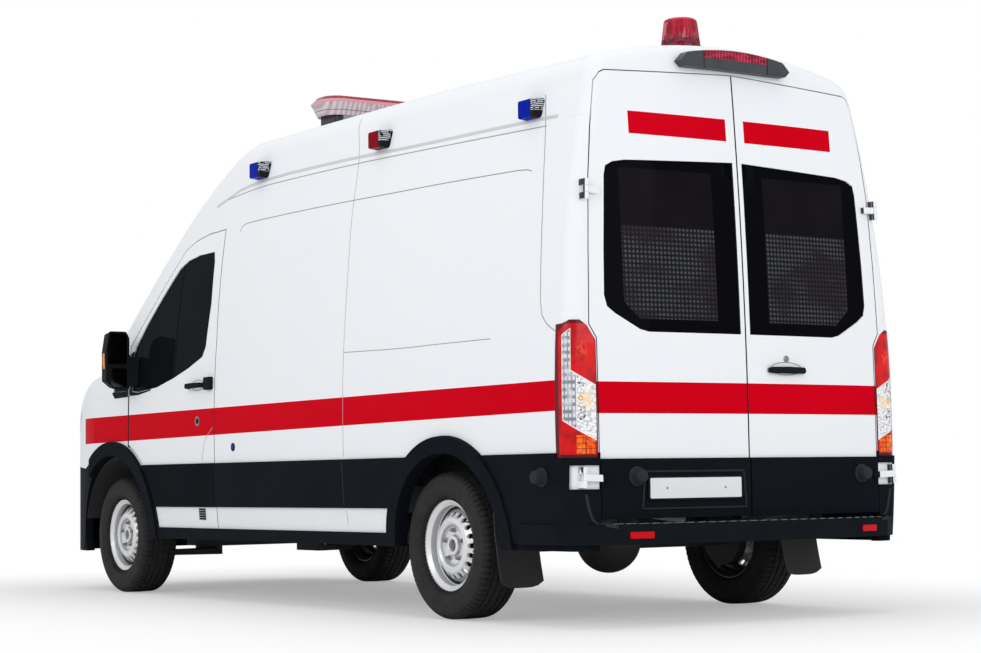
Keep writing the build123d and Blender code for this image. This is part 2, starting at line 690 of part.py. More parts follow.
# brackets that carry the rear bumper
with BuildPart() as bumperBrackets:
    for side in (1, -1):
        with Locations((-2800, side * railY, 430)):
            Box(300, 80, 70)
        with Locations((-2730, side * railY, 480)):
            Box(60, 80, 60)
    add(outer, mode=Mode.INTERSECT)
with BuildPart() as chassisFrame:
    add(chassisRails.part)
    add(bumperBrackets.part)
    with Locations((frontAxleX, 0, 330)):
        Box(300, 900, 110)
    for side in (1, -1):
        # lower arm with the eye of the lower kingpin bearing
        with BuildSketch(Plane.XY.offset(222)):
            with BuildLine():
                Polyline((frontAxleX - 150, side * 360), (frontAxleX + 150, side * 360),
                         (frontAxleX + 40, side * (kingpinY + 15)), (frontAxleX - 40, side * (kingpinY + 15)),
                         close=True)
            make_face()
            with Locations((frontAxleX, side * kingpinY)):
                Circle(40)
        extrude(amount=34)
        with Locations((frontAxleX, side * 370, 260)):
            Box(300, 40, 76)
        # strut above the knuckle, up to the tower on the front rail
        with Locations((frontAxleX, side * (kingpinY - 5), 690)):
            Cylinder(30, 210)
        with Locations((frontAxleX, side * (kingpinY - 15), 900)):
            Cylinder(26, 260)
        with Locations((frontAxleX, side * (kingpinY - 60), 1030)):
            Cylinder(90, 40)
        with Locations((frontAxleX, side * 505, 1035)):
            Box(160, 300, 40)
        with Locations((frontAxleX, side * 385, 760)):
            Box(120, 50, 590)
    for side in (1, -1):
        with Locations((frontAxleX, side * kingpinY, 239)):
            Cylinder(kingpinR + runningFit, 60, mode=Mode.SUBTRACT)
        with Locations((frontAxleX, side * kingpinY, 595)):
            Cylinder(kingpinR + runningFit, 60, mode=Mode.SUBTRACT)


def knuckle(side):
    with BuildPart() as part:
        with Locations((frontAxleX, side * kingpinY, (265 + 570) / 2)):
            Box(90, 46, 305)
        with Locations((frontAxleX, side * kingpinY, (228 + 620) / 2)):
            Cylinder(kingpinR, 392)
        with BuildSketch(Plane.XZ.offset(-side * (kingpinY + 50))):
            with Locations((frontAxleX, wheelZ)):
                Circle(130)
        extrude(amount=-side * 25)
        with BuildSketch(Plane.XZ.offset(-side * kingpinY)):
            with Locations((frontAxleX, wheelZ)):
                Circle(spindleR)
        extrude(amount=-side * 190)
    return part.part


knuckleLeft = knuckle(1)
knuckleRight = knuckle(-1)

springProfile = [(-1130, 468), (rearAxleX, 412), (-2480, 480)]
with BuildPart() as rearAxle:
    with BuildSketch(Plane.XZ.offset(-790)):
        with Locations((rearAxleX, wheelZ)):
            Circle(46)
    extrude(amount=1580)
    with Locations((rearAxleX, 0, wheelZ)):
        Sphere(165)
    for side in (1, -1):
        with BuildSketch(Plane.XZ.offset(-side * 740)):
            with Locations((rearAxleX, wheelZ)):
                Circle(150)
        extrude(amount=-side * 50)
        with BuildSketch(Plane.XZ.offset(-side * 780)):
            with Locations((rearAxleX, wheelZ)):
                Circle(spindleR)
        extrude(amount=-side * 130)
        # leaf spring over the axle with its eyes under the rail
        with BuildSketch(Plane.XZ.offset(-side * springY + 35)):
            with BuildLine():
                ThreePointArc((-1130, 468), (rearAxleX, 398), (-2480, 468))
                Line((-2480, 468), (-2480, 496))
                ThreePointArc((-2480, 496), (rearAxleX, 432), (-1130, 496))
                Line((-1130, 496), (-1130, 468))
            make_face()
        extrude(amount=-70)
        for x in (-1140, -2470):
            with Locations((x, side * springY, 482)):
                Box(60, 70, 35.4)

with BuildPart() as propShaft:
    with BuildSketch(Plane.YZ.offset(rearAxleX + 165 + seat)):
        with Locations((0, wheelZ)):
            Circle(38)
    extrude(amount=gearboxX - rearAxleX - 165 - 2 * seat)

pipeY, pipeZ = -250.0, 360.0
with BuildPart() as exhaust:
    with BuildSketch(Plane.YZ.offset(-200)):
        with Locations((pipeY, pipeZ + 5)):
            RectangleRounded(220, 130, 50)
    extrude(amount=700)
    with BuildSketch(Plane.YZ.offset(-1300)):
        with Locations((pipeY, pipeZ)):
            Circle(30)
    extrude(amount=1670 + 1300)
    with BuildSketch(Plane.XY.offset(pipeZ - 32)):
        with Locations((1670, pipeY)):
            Circle(34)
    extrude(amount=430 - seat - pipeZ + 32)
    # hangers up to the cross members
    with Locations((200, pipeY, 470)):
        Box(30, 40, 100 - 2 * seat)
    with Locations((900, pipeY, 395)):
        Box(30, 40, 30 - 2 * seat)

with BuildPart() as fuelTank:
    with Locations((90, 745, (345 + railTop) / 2)):
        Box(780, 350, railTop - 345)
    fillet(fuelTank.edges().filter_by(Axis.X), 40)

# ---- wheels ------------------------------------------------------------------
def wheelPlane(x, y):
    return Plane(origin=(x, y, wheelZ), x_dir=(0, 0, 1), z_dir=(1, 0, 0))


def wheel(x, y, side):
    # section in radius and outboard distance from the wheel's middle
    rim = [
        (222, 86), (222, 79), (208, 76), (202.7, 70), (200, 30), (184, 20), (184, -28), (200, -40), (202.7, -70),
        (208, -76), (222, -79), (222, -86), (213, -86), (194, -72), (192, -46), (176, -32), (176, 14),
        (158, 38), (128, 66), (112, 72), (100, 62), (92, 46), (34, 46), (34, 4), (spindleR + runningFit, 4),
        (spindleR + runningFit, 70), (46, 70), (52, 54), (88, 54), (96, 70), (112, 80), (132, 75), (164, 46),
        (182, 24), (193, 38), (194, 70), (213, 86),
    ]
    with BuildPart() as part:
        with BuildSketch(Plane(origin=(x, y, wheelZ), x_dir=(1, 0, 0), z_dir=(0, 0, 1))):
            with BuildLine():
                Polyline(*[(r, side * h) for r, h in rim], close=True)
            make_face()
        revolve(axis=Axis((x, y, wheelZ), (0, 1, 0)))
        with Locations(Plane(origin=(x, y, wheelZ), x_dir=(1, 0, 0), z_dir=(0, side, 0))):
            with PolarLocations(ventRing, 20):
                Cylinder(ventR, 200, mode=Mode.SUBTRACT)
    return part.part


def tyre(x, y):
    half = [(rimRadius, 69.7), (208.3, 75.7), (222.3, 78.7), (225, 91), (242, 107), (268, 115), (292, tyreHalf),
            (325, 112), (344, 101), (354, 88), (tyreRadius, 60)]
    profile = half + [(r, -h) for r, h in reversed(half)]
    with BuildPart() as part:
        with BuildSketch(Plane(origin=(x, y, wheelZ), x_dir=(1, 0, 0), z_dir=(0, 0, 1))):
            with BuildLine():
                Polyline(*profile, close=True)
            make_face()
        revolve(axis=Axis((x, y, wheelZ), (0, 1, 0)))
    return part.part


corners = {
    "front_left": (frontAxleX, frontTrack / 2, 1),
    "front_right": (frontAxleX, -frontTrack / 2, -1),
    "rear_left": (rearAxleX, rearTrack / 2, 1),
    "rear_right": (rearAxleX, -rearTrack / 2, -1),
}

# ---- mirrors -----------------------------------------------------------------
mirrorX, mirrorDepth, mirrorRim, mirrorR = 1605.0, 110.0, 9.0, 18.0
mirrorOutline = [(1083, 1245), (1180, 1245), (1237, 1292), (1237, 1480), (1218, 1600), (1104, 1600), (1083, 1560)]
with BuildPart() as mirrorCase:
    with BuildSketch(Plane.YZ.offset(mirrorX)):
        with BuildLine() as caseEdge:
            Polyline(*mirrorOutline, close=True)
        make_face()
        fillet(caseEdge.vertices(), mirrorR)
    extrude(amount=mirrorDepth, taper=9)
    fillet(mirrorCase.faces().sort_by(Axis.X)[-1].edges(), mirrorR)
    # rim round a long glass and a short wide-angle one below it
    with BuildSketch(Plane.YZ.offset(mirrorX)):
        with BuildLine() as glassEdge:
            Polyline(*mirrorOutline, close=True)
        make_face()
        fillet(glassEdge.vertices(), mirrorR)
        offset(amount=-mirrorRim, mode=Mode.REPLACE)
        with Locations((1160, 1388)):
            Rectangle(300, mirrorRim, mode=Mode.SUBTRACT)
    extrude(amount=5, mode=Mode.SUBTRACT)
    # arm to the door
    with BuildSketch(Plane.XZ.offset(-990)):
        with Locations((1650, 1358)):
            RectangleRounded(76, 184, 20)
    extrude(amount=-120)
with BuildPart() as mirrorLeft:
    add(mirrorCase.part)
    add(near, mode=Mode.SUBTRACT)
mirrorRight = across(mirrorLeft.part)

pieces = {
    "side_panel_left": sidePanelLeft,
    "side_panel_right": sidePanelRight,
    "roof_high_top": roofHighTop.part,
    "cab_pillars": cabPillars.part,
    "front_wings": frontWings.part,
    "floor_and_firewall": floorAndFirewall.part,
    "bulkhead": bulkhead.part,
    "bonnet": bonnet.part,
    "fixed_glass": fixedGlass.part,
    "front_bumper": frontBumper.part,
    "grille": grille.part,
    "headlamps": headlamps.part,
    "engine": engine.part,
    "dashboard": dashboard.part,
    "steering_wheel": steeringWheel.part,
    "cab_seats": cabSeats.part,
    "front_door_left": frontDoorLeft.part,
    "front_door_right": frontDoorRight,
    "front_glass_left": frontGlassLeft.part,
    "front_glass_right": frontGlassRight,
    "mirror_left": mirrorLeft.part,
    "mirror_right": mirrorRight,
    "sliding_door": slidingDoorRight.part,
    "side_mouldings": sideMouldings.part,
    "rear_door_left": rearDoorLeft.part,
    "rear_door_right": rearDoorRight,
    "rear_glass_left": rearGlassLeft.part,
    "rear_glass_right": rearGlassRight,
    "rear_bumper": rearBumper.part,
    "rear_lamps": rearLamps.part,
    "roof_beacon": roofBeacon.part,
    "light_bar": lightBar.part,
    "marker_lamps": markerLamps.part,
    "chassis_frame": chassisFrame.part,
    "knuckle_left": knuckleLeft,
    "knuckle_right": knuckleRight,
    "rear_axle": rearAxle.part,
    "prop_shaft": propShaft.part,
    "exhaust": exhaust.part,
    "fuel_tank": fuelTank.part,
}
for place, (x, y, side) in corners.items():
    pieces["wheel_" + place] = wheel(x, y, side)
    pieces["tyre_" + place] = tyre(x, y)

for name, piece in pieces.items():
    piece.label = name
    export_step(piece, "parts/" + name + ".step")
    box = piece.bounding_box()
    print(name, len(piece.solids()), round(piece.volume / 1e6, 2), [round(v) for v in (*box.min, *box.max)])
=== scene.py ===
import math
import bmesh
import bpy
from mathutils import Matrix, Vector
from mathutils.bvhtree import BVHTree


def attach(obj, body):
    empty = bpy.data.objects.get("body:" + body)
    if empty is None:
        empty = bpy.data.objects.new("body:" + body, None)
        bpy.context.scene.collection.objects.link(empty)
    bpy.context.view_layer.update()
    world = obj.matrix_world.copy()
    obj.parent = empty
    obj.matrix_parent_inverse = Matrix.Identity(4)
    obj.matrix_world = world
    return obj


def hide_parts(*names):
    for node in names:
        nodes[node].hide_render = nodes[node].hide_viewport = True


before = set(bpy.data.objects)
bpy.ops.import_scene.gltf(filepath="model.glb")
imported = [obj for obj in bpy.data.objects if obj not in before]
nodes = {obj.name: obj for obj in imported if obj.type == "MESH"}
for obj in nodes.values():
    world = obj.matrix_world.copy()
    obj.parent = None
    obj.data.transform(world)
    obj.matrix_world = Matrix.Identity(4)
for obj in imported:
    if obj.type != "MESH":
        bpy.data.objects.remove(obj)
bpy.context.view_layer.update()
scene = bpy.context.scene
print("van loaded:", len(nodes), "nodes")


# shader maths: a wire is one socket, and sums on wires become nodes
class Wire:
    def __init__(self, shader, socket):
        self.shader = shader
        self.socket = socket

    def maths(self, kind, *values):
        return self.shader.add("ShaderNodeMath", {"operation": kind}, dict(enumerate(values)))

    def __add__(self, other):
        return self.maths("ADD", self, other)

    def __radd__(self, other):
        return self.maths("ADD", other, self)

    def __sub__(self, other):
        return self.maths("SUBTRACT", self, other)

    def __rsub__(self, other):
        return self.maths("SUBTRACT", other, self)

    def __mul__(self, other):
        return self.maths("MULTIPLY", self, other)

    def __rmul__(self, other):
        return self.maths("MULTIPLY", other, self)

    def __truediv__(self, other):
        return self.maths("DIVIDE", self, other)

    def __gt__(self, other):
        return self.maths("GREATER_THAN", self, other)

    def __lt__(self, other):
        return self.maths("LESS_THAN", self, other)

    def __abs__(self):
        return self.maths("ABSOLUTE", self)

    def sine(self):
        return self.maths("SINE", self)

    def sign(self):
        return self.maths("SIGN", self)

    def root(self):
        return self.maths("SQRT", self)

    def most(self, other):
        return self.maths("MAXIMUM", self, other)

    def between(self, low, high):
        return (self > low) * (self < high)

    def eased(self, low, high):     # 0 at low, 1 at high, smooth between
        return self.shader.add("ShaderNodeMapRange", {"interpolation_type": "SMOOTHSTEP"},
                               {"Value": self, "From Min": low, "From Max": high})


class Shader:
    def __init__(self, name, owner=None):
        self.owner = owner or bpy.data.materials.new(name)
        self.owner.use_nodes = True
        self.tree = self.owner.node_tree
        self.tree.nodes.clear()

    def add(self, kind, settings=None, inputs=None, out=0):
        node = self.tree.nodes.new(kind)
        for key, value in (settings or {}).items():
            setattr(node, key, value)
        for key, value in (inputs or {}).items():
            if isinstance(value, Wire):
                self.tree.links.new(value.socket, node.inputs[key])
            else:
                node.inputs[key].default_value = value
        return Wire(self, node.outputs[out]) if node.outputs else None

    def place(self, output="Object"):       # coordinates that stay with the moving piece
        where = self.add("ShaderNodeTexCoord", out=output)
        return [self.add("ShaderNodeSeparateXYZ", {}, {0: where}, out=axis) for axis in "XYZ"]

    def stretched(self, stretch):
        where = self.add("ShaderNodeTexCoord", out="Object")
        return self.add("ShaderNodeMapping", {}, {"Vector": where, "Scale": stretch})

    def noise(self, scale, detail=3.0, rough=0.5, stretch=(1, 1, 1)):
        return self.add("ShaderNodeTexNoise", {}, {"Vector": self.stretched(stretch), "Scale": scale,
                                                   "Detail": detail, "Roughness": rough})

    def cells(self, scale, stretch=(1, 1, 1)):
        return self.add("ShaderNodeTexVoronoi", {},
                        {"Vector": self.stretched(stretch), "Scale": scale}, out="Distance")

    def mix(self, first, second, share):
        first, second = [c if isinstance(c, Wire) else (*c, 1) for c in (first, second)]
        return self.add("ShaderNodeMix", {"data_type": "RGBA"}, {0: share, 6: first, 7: second}, out=2)

    def bump(self, height, strength, depth=0.001):
        return self.add("ShaderNodeBump", {}, {"Height": height, "Strength": strength, "Distance": depth})

    def finish(self, colour, **rest):
        inputs = {"Base Color": colour if isinstance(colour, Wire) else (*colour, 1)}
        inputs.update({key.replace("_", " "): value for key, value in rest.items()})
        return self.close(self.add("ShaderNodeBsdfPrincipled", {}, inputs))

    def close(self, surface, kind="ShaderNodeOutputMaterial"):
        self.add(kind, {}, {"Surface": surface})
        return self.owner


def apart(u, v):        # squared distance from two offsets
    return u * u + v * v


def scaled(colour, share):
    return tuple(c * share for c in colour)


# body paint, with its films, mouldings and shaded places
paint = {"white": (0.83, 0.85, 0.875), "shade": (0.80, 0.825, 0.857), "red": (0.62, 0.0004, 0.012),
         "redDeep": (0.54, 0.0002, 0.008), "lowerTone": (0.60, 0.60, 0.58), "toneLow": 0.32, "toneHigh": 0.62,
         "roughness": 0.3, "coat": 0.10}
cladBand = {"colour": (0.0045, 0.006, 0.0085), "light": (0.008, 0.010, 0.0135), "doorLow": 0.533,
            "doorHigh": 0.786, "doorOut": 1.0, "rearFrom": -2.79, "rearHigh": 0.7575, "rearEdge": 0.843}
archDark = {"front": (1.960, 0.575), "rear": (-1.840, 0.540), "height": 0.345, "outer": 1.034}
# painted shade under the tail
tailShade = {"from": -2.30, "edge": 0.962, "high": 0.53, "low": 0.405}
# painted shade on the faces inside the door gaps
gapShade = {"colour": (0.045, 0.048, 0.055), "rearTurned": 0.85, "rear": (-2.99, -2.79), "rearEdge": 0.952,
            "sideTurned": 0.93, "side": (-0.5, 1.76), "sideOut": 0.86, "sideLow": 0.36}
stripe = {"centre": 1.0262, "fall": 0.006, "half": 0.0755, "widen": 0.0025, "front": 2.46, "flankOut": 0.86,
          "rearFrom": -2.8, "rearCentre": 1.032, "rearHalf": 0.0715}
headBand = {"low": 2.246, "high": 2.352, "edge": 0.62, "gap": 0.055}


def bodyPaint(name, striped=False, banded=False, clad=None):
    s = Shader(name)
    x, y, z = s.place()
    facing = s.place("Normal")
    side = abs(y)
    white = s.mix(paint["white"], paint["shade"], s.noise(1.1, 4.0))
    # darker towards the bottom, in blotches
    lowerTone = (1 - z.eased(paint["toneLow"], paint["toneHigh"])) * s.noise(9.0, 5.0) * 0.35
    colour = s.mix(white, paint["lowerTone"], lowerTone)
    film = None
    if striped:
        centre = stripe["centre"] - x * stripe["fall"]
        half = stripe["half"] + x * stripe["widen"]
        flank = (facing[1] * y.sign() > 0.5) * (side > stripe["flankOut"]) * (x < stripe["front"])
        back = (facing[0] < -0.6) * (x < stripe["rearFrom"])
        film = flank * (abs(z - centre) < half)
        film = film.most(back * (abs(z - stripe["rearCentre"]) < stripe["rearHalf"]))
        if banded:      # plain bar on each door's head, where the real one is lettered
            bar = z.between(headBand["low"], headBand["high"]) * (
                side.between(headBand["gap"], headBand["edge"]))
            film = film.most(back * bar)
        colour = s.mix(colour, s.mix(paint["red"], paint["redDeep"], s.noise(2.3, 3.0)), film)
    # the dark inside of each wheel arch
    arches = [(apart(x - at, z - archDark["height"]) < reach * reach) * (side < archDark["outer"])
              for at, reach in (archDark["front"], archDark["rear"])]
    dark = arches[0].most(arches[1])
    if clad == "side":          # the moulding that is one piece with the door
        moulding = z.between(cladBand["doorLow"], cladBand["doorHigh"])
        dark = dark.most(moulding * (side > cladBand["doorOut"]))
    if clad == "rear":          # not the hinge straps beside the door's edge
        strip = (z < cladBand["rearHigh"]) * (x < cladBand["rearFrom"])
        dark = dark.most(strip * (side < cladBand["rearEdge"]))
    # painted shade under the tail: the inner faces seen below the bumper, and everything lowest down
    tail = x < tailShade["from"]
    dark = dark.most(tail * (z < tailShade["high"]) * (side < tailShade["edge"]))
    dark = dark.most(tail * (z < tailShade["low"]))
    colour = s.mix(colour, s.mix(cladBand["colour"], cladBand["light"], s.noise(3.0, 5.0)), dark)
    if striped:                 # painted shade on the narrow faces that look at each other across a door gap
        gap = (abs(facing[1]) > gapShade["rearTurned"]) * x.between(*gapShade["rear"]) * (
            side < gapShade["rearEdge"])
        gap = gap.most((abs(facing[0]) > gapShade["sideTurned"]) * (side > gapShade["sideOut"])
                       * x.between(*gapShade["side"]) * (z > gapShade["sideLow"]))
        colour = s.mix(colour, gapShade["colour"], gap * (1 - dark))
    bare = dark.most(film) if striped else dark
    return s.finish(colour, Roughness=paint["roughness"] + s.noise(420.0, 2.0) * 0.05 + dark * 0.25,
                    Coat_Weight=(1 - bare) * paint["coat"], Coat_Roughness=0.05, Specular_IOR_Level=0.05,
                    IOR=1.2, Normal=s.bump(s.noise(60.0, 2.0), 0.03, 0.0006))


def blackPlastic(name, colour=(0.0045, 0.006, 0.0085), grain=900.0, rough=0.45, strength=0.3):
    s = Shader(name)
    tone = s.mix(colour, scaled(colour, 1.9), s.noise(3.0, 5.0))
    # lighter towards the bottom, in blotches
    lowerTone = (1 - s.place()[2].eased(0.2, 0.7)) * s.noise(14.0, 6.0) * 0.05
    return s.finish(s.mix(tone, (0.06, 0.058, 0.055), lowerTone), Roughness=rough + s.noise(25.0) * 0.12,
                    Specular_IOR_Level=0.05, IOR=1.22, Normal=s.bump(s.cells(grain), strength, 0.0005))


# the rear doors' panes: clear inside a printed border, etched with dots in the lower part
pane = {"inner": 0.157, "outer": 0.684, "low": 1.392, "frost": 1.818, "high": 2.085, "pitch": 0.022,
        "cornerFrom": 0.60, "cornerRise": 0.9, "border": (0.003, 0.003, 0.004)}


def darkGlass(name, frosted=False):
    s = Shader(name)
    y, z = s.place()[1:]
    tint = s.mix((0.003, 0.0045, 0.006), (0.009, 0.010, 0.012), s.noise(1.7, 3.0))
    if frosted:
        side = abs(y)
        foot = pane["low"] + (side - pane["cornerFrom"]).most(0.0) * pane["cornerRise"]
        clear = side.between(pane["inner"], pane["outer"]) * (z > foot) * (z < pane["high"])
        wave = 2 * math.pi / pane["pitch"]
        dots = ((y * wave).sine() * 0.5 + 0.5) * ((z * wave).sine() * 0.5 + 0.5)
        haze = s.mix((0.010, 0.011, 0.013), (0.085, 0.088, 0.10), dots)
        patch = s.noise(3.4, 3.0, 0.5, (1, 1, 1.6)).eased(0.42, 0.62)
        haze = s.mix(haze, (0.016, 0.012, 0.016), patch * 0.75)
        inner = s.mix((0.004, 0.0035, 0.005), (0.012, 0.010, 0.012), s.noise(3.2, 4.0))
        tint = s.mix(pane["border"], s.mix(inner, haze, z < pane["frost"]), clear)
    return s.finish(tint, Roughness=0.03 + s.noise(3.0) * 0.03, IOR=1.25, Specular_IOR_Level=0.03,
                    Transmission_Weight=0.0 if frosted else 0.03)


def lampLens(name, colour, deep, pitch=0.0, axis=2, rough=0.08):
    s = Shader(name)
    flute = (s.place()[axis] * (2 * math.pi / pitch)).sine() if pitch else s.noise(14.0, 2.0) * 2 - 1
    tone = s.mix(colour, deep, 0.5 + flute * 0.5)
    return s.finish(tone, Roughness=rough + s.noise(40.0) * 0.05, Coat_Weight=0.04, Coat_Roughness=0.03,
                    Specular_IOR_Level=0.1, Normal=s.bump(flute, 0.25, (pitch or 0.008) * 0.2))


# rear lamps: distances out from the middle, wrapped round the corner, and heights
tailForm = {"innerEdge": 0.858, "outerEdge": 1.086, "top": 1.362, "low": 0.777, "wrapFrom": -2.85,
            "stripIn": 1.006, "stripOut": 1.058, "stripTop": 1.336, "bandTop": 1.083, "bandLow": 0.843,
            "slant": 0.45, "line": 0.004, "divider": (0.966, 0.971), "blocksFrom": 0.970,
            "amber": (0.866, 0.972, 0.776, 0.862), "bulb": (0.944, 1.028, 0.013), "redHighlight": (0.93, 1.245)}
podForm = {"from": 2.0, "lensHalf": 0.192, "lensLow": 2.632, "seam": 0.006}


def tailLens(name):
    s = Shader(name)
    x, y, z = s.place()
    side = abs(y)
    wrapAt = side + (x - tailForm["wrapFrom"]).most(0.0)     # runs from the door round on to the flank
    inset = wrapAt - tailForm["innerEdge"]
    ribs = (wrapAt * 700.0).sine() * (z * 700.0).sine()
    red = s.mix((0.66, 0.001, 0.006), (0.40, 0.0, 0.004), s.noise(14.0, 3.0).eased(0.40, 0.62))
    red = s.mix(red, (0.90, 0.03, 0.02), (ribs > 0.6) * 0.35)
    # painted highlight: a bright spot on the red lens
    highlightAt, highlightHigh = tailForm["redHighlight"]
    redHighlight = abs(z - highlightHigh).eased(0.05, 0.0) * abs(wrapAt - highlightAt).eased(0.06, 0.0)
    red = s.mix(red, (0.95, 0.06, 0.01), redHighlight * (s.noise(60.0, 2.0) > 0.5) * 0.8)
    # reflector seen in blocks through the clear part; its bright and dark blocks and facets are painted
    # reflection
    steps = ((z * 190.0).sine() > 0.1).most((wrapAt * 260.0).sine() > 0.55)
    column = s.mix((0.66, 0.68, 0.72), (0.22, 0.235, 0.27), steps * s.noise(28.0, 3.0).eased(0.3, 0.6))
    facets = s.cells(64.0, (1, 1, 1.4)).eased(0.35, 0.75)
    bowl = s.mix((0.90, 0.91, 0.93), (0.46, 0.47, 0.50), facets * 0.8)
    flecks = (s.noise(70.0, 3.0, 0.6) > 0.56) * abs(wrapAt - 0.940).eased(0.032, 0.018)
    bowl = s.mix(bowl, (0.03, 0.03, 0.034), flecks * abs(z - 1.03).between(0.040, 0.100))
    chrome = s.mix(bowl, column, wrapAt > tailForm["blocksFrom"])
    glow = abs(wrapAt - 0.905).eased(0.05, 0.01) * abs(z - 1.02).eased(0.06, 0.01)
    chrome = s.mix(chrome, (0.90, 0.72, 0.46), glow * 0.75)
    # the clear part: a slanting band, and a strip that climbs the outer edge
    high = tailForm["bandTop"] + inset * tailForm["slant"]
    low = tailForm["bandLow"] + inset * tailForm["slant"]
    stripTop = tailForm["stripTop"] - (wrapAt - tailForm["stripIn"]) * 0.5

    def clearPart(grow, foot):
        band = (z < high + grow * 1.5) * (z > foot) * (wrapAt < tailForm["stripOut"] + grow)
        strip = wrapAt.between(tailForm["stripIn"] - grow, tailForm["stripOut"] + grow) * (z > low) * (
            z < stripTop + grow)
        return band.most(strip)

    colour = s.mix(red, (0.80, 0.78, 0.77), clearPart(tailForm["line"], low - 0.006))
    colour = s.mix(colour, chrome, clearPart(0, low))
    divider = wrapAt.between(*tailForm["divider"]) * (z < high) * (z > low)
    colour = s.mix(colour, (0.82, 0.82, 0.82), divider)
    a0, a1, b0, b1 = tailForm["amber"]
    amber = s.mix((0.78, 0.055, 0.003), (0.95, 0.17, 0.008), s.noise(60.0, 2.0).eased(0.42, 0.58))
    glints = (s.noise(46.0, 2.0) > 0.60) * abs(wrapAt - 0.945).eased(0.03, 0.0)
    amber = s.mix(amber, (0.95, 0.50, 0.06), glints)
    bars = (abs(wrapAt - 0.917) < 0.003).most((z * 260.0).sine() > 0.93)
    amber = s.mix(amber, (0.30, 0.008, 0.002), bars)
    colour = s.mix(colour, amber, wrapAt.between(a0, a1) * z.between(b0, b1) * (z < low - 0.004))
    u, v, r = tailForm["bulb"]
    bulb = apart(wrapAt - u, z - v)
    colour = s.mix(colour, (0.78, 0.40, 0.08), bulb < r * r)
    colour = s.mix(colour, (0.95, 0.80, 0.55), bulb < r * r * 0.2)
    roof = tailForm["top"] - (wrapAt - 1.03).most(0.0) * 0.6 - (0.90 - wrapAt).most(0.0) * 0.9
    rim = (wrapAt < tailForm["innerEdge"]).most(wrapAt > tailForm["outerEdge"]).most(z > roof)
    rim = rim.most(z < tailForm["low"])
    colour = s.mix(colour, s.mix((0.16, 0.001, 0.008), (0.07, 0.0, 0.003), s.noise(10.0)), rim)
    # high lamp: grey housing with a red lens
    pod = z > podForm["from"]
    colour = s.mix(colour, s.mix((0.034, 0.038, 0.045), (0.070, 0.076, 0.086), s.noise(8.0)), pod)
    lens = pod * (z > podForm["lensLow"]) * (side < podForm["lensHalf"])
    cloud = s.noise(34.0, 3.0, 0.5, (1, 0.4, 1.6)).eased(0.4, 0.6)
    podRed = s.mix((0.42, 0.006, 0.05), (0.14, 0.001, 0.012), cloud)
    # painted highlights: pale upright streaks on the red lens
    podRed = s.mix(podRed, (0.62, 0.14, 0.20), ((y * 330.0).sine() > 0.9) * 0.5)
    colour = s.mix(colour, podRed, lens)
    seam = pod * side.between(podForm["lensHalf"], podForm["lensHalf"] + podForm["seam"])
    colour = s.mix(colour, (0.01, 0.01, 0.012), seam)
    housing = pod * (1 - lens)
    return s.finish(colour, Roughness=0.1 + housing * 0.3, Coat_Weight=(1 - housing) * 0.2,
                    Coat_Roughness=0.03, Specular_IOR_Level=0.15, Normal=s.bump(ribs, 0.2, 0.0008))


beaconGlow = {"works": (2.795, 2.825), "gleam": (2.800, 2.885), "cap": 2.893}


def beaconLens(name):
    s = Shader(name)
    z = s.place()[2]
    streak = s.noise(55.0, 3.0, 0.6, (1, 1, 0.03)).eased(0.36, 0.64)
    tone = s.mix((0.46, 0.003, 0.035), (0.24, 0.001, 0.014), streak)
    works = (1 - z.eased(*beaconGlow["works"])) * (s.noise(60.0, 3.0, 0.5, (1, 1, 2.0)) > 0.44)
    tone = s.mix(tone, (0.050, 0.002, 0.008), works * 0.85)
    gleam = (s.noise(30.0, 2.0, 0.5, (1, 1, 0.02)) > 0.60) * z.between(*beaconGlow["gleam"])
    tone = s.mix(tone, (0.80, 0.20, 0.26), gleam * 0.5)
    tone = s.mix(tone, (0.55, 0.03, 0.06), z > beaconGlow["cap"])
    return s.finish(tone, Roughness=0.12 + s.noise(40.0) * 0.05, Coat_Weight=0.2, Specular_IOR_Level=0.2,
                    Normal=s.bump(streak, 0.15, 0.001))


# side marker lamps, front to rear; the middle one is red
markerForm = {"x": (0.262, -1.060, -2.400), "z": (2.438, 2.433, 2.396), "reach": 0.2, "clearFrom": -0.034,
              "ribsFrom": -0.040, "ribsHigh": -0.012, "front": 0.068, "rear": -0.069, "low": -0.047}


def markerLens(name):
    s = Shader(name)
    x, _, z = s.place()
    chosen = [abs(x - at) < markerForm["reach"] for at in markerForm["x"]]
    lens = s.mix((0.0005, 0.018, 0.42), (0.30, 0.0, 0.012), chosen[1])
    dark = s.mix((0.0, 0.007, 0.24), (0.16, 0.0, 0.005), chosen[1])
    flute = (x * 500.0).sine()
    colour = s.mix(lens, dark, 0.5 + flute * 0.5)
    along = sum((x - at) * picked for at, picked in zip(markerForm["x"], chosen))
    above = sum((z - at) * picked for at, picked in zip(markerForm["z"], chosen))
    # clear ribbed rear part over a black backing
    ribs = ((z * 620.0).sine() > 0.0) * (s.noise(60.0, 2.0) > 0.42)
    ribs = ribs * (above > markerForm["ribsHigh"]) * (along < markerForm["ribsFrom"])
    clear = s.mix((0.014, 0.015, 0.018), (0.62, 0.65, 0.70), ribs)
    colour = s.mix(colour, clear, along < markerForm["clearFrom"])
    casing = (along > markerForm["front"]).most(along < markerForm["rear"]).most(above < markerForm["low"])
    colour = s.mix(colour, (0.006, 0.006, 0.008), casing)
    return s.finish(colour, Roughness=0.1 + s.noise(30.0) * 0.05, Specular_IOR_Level=0.04, IOR=1.25,
                    Normal=s.bump(flute, 0.3, 0.002))


barForm = {"foot": 2.7935, "seam": 2.822, "redFrom": 2.866, "deepFrom": 2.886, "line": (2.8975, 2.9005)}


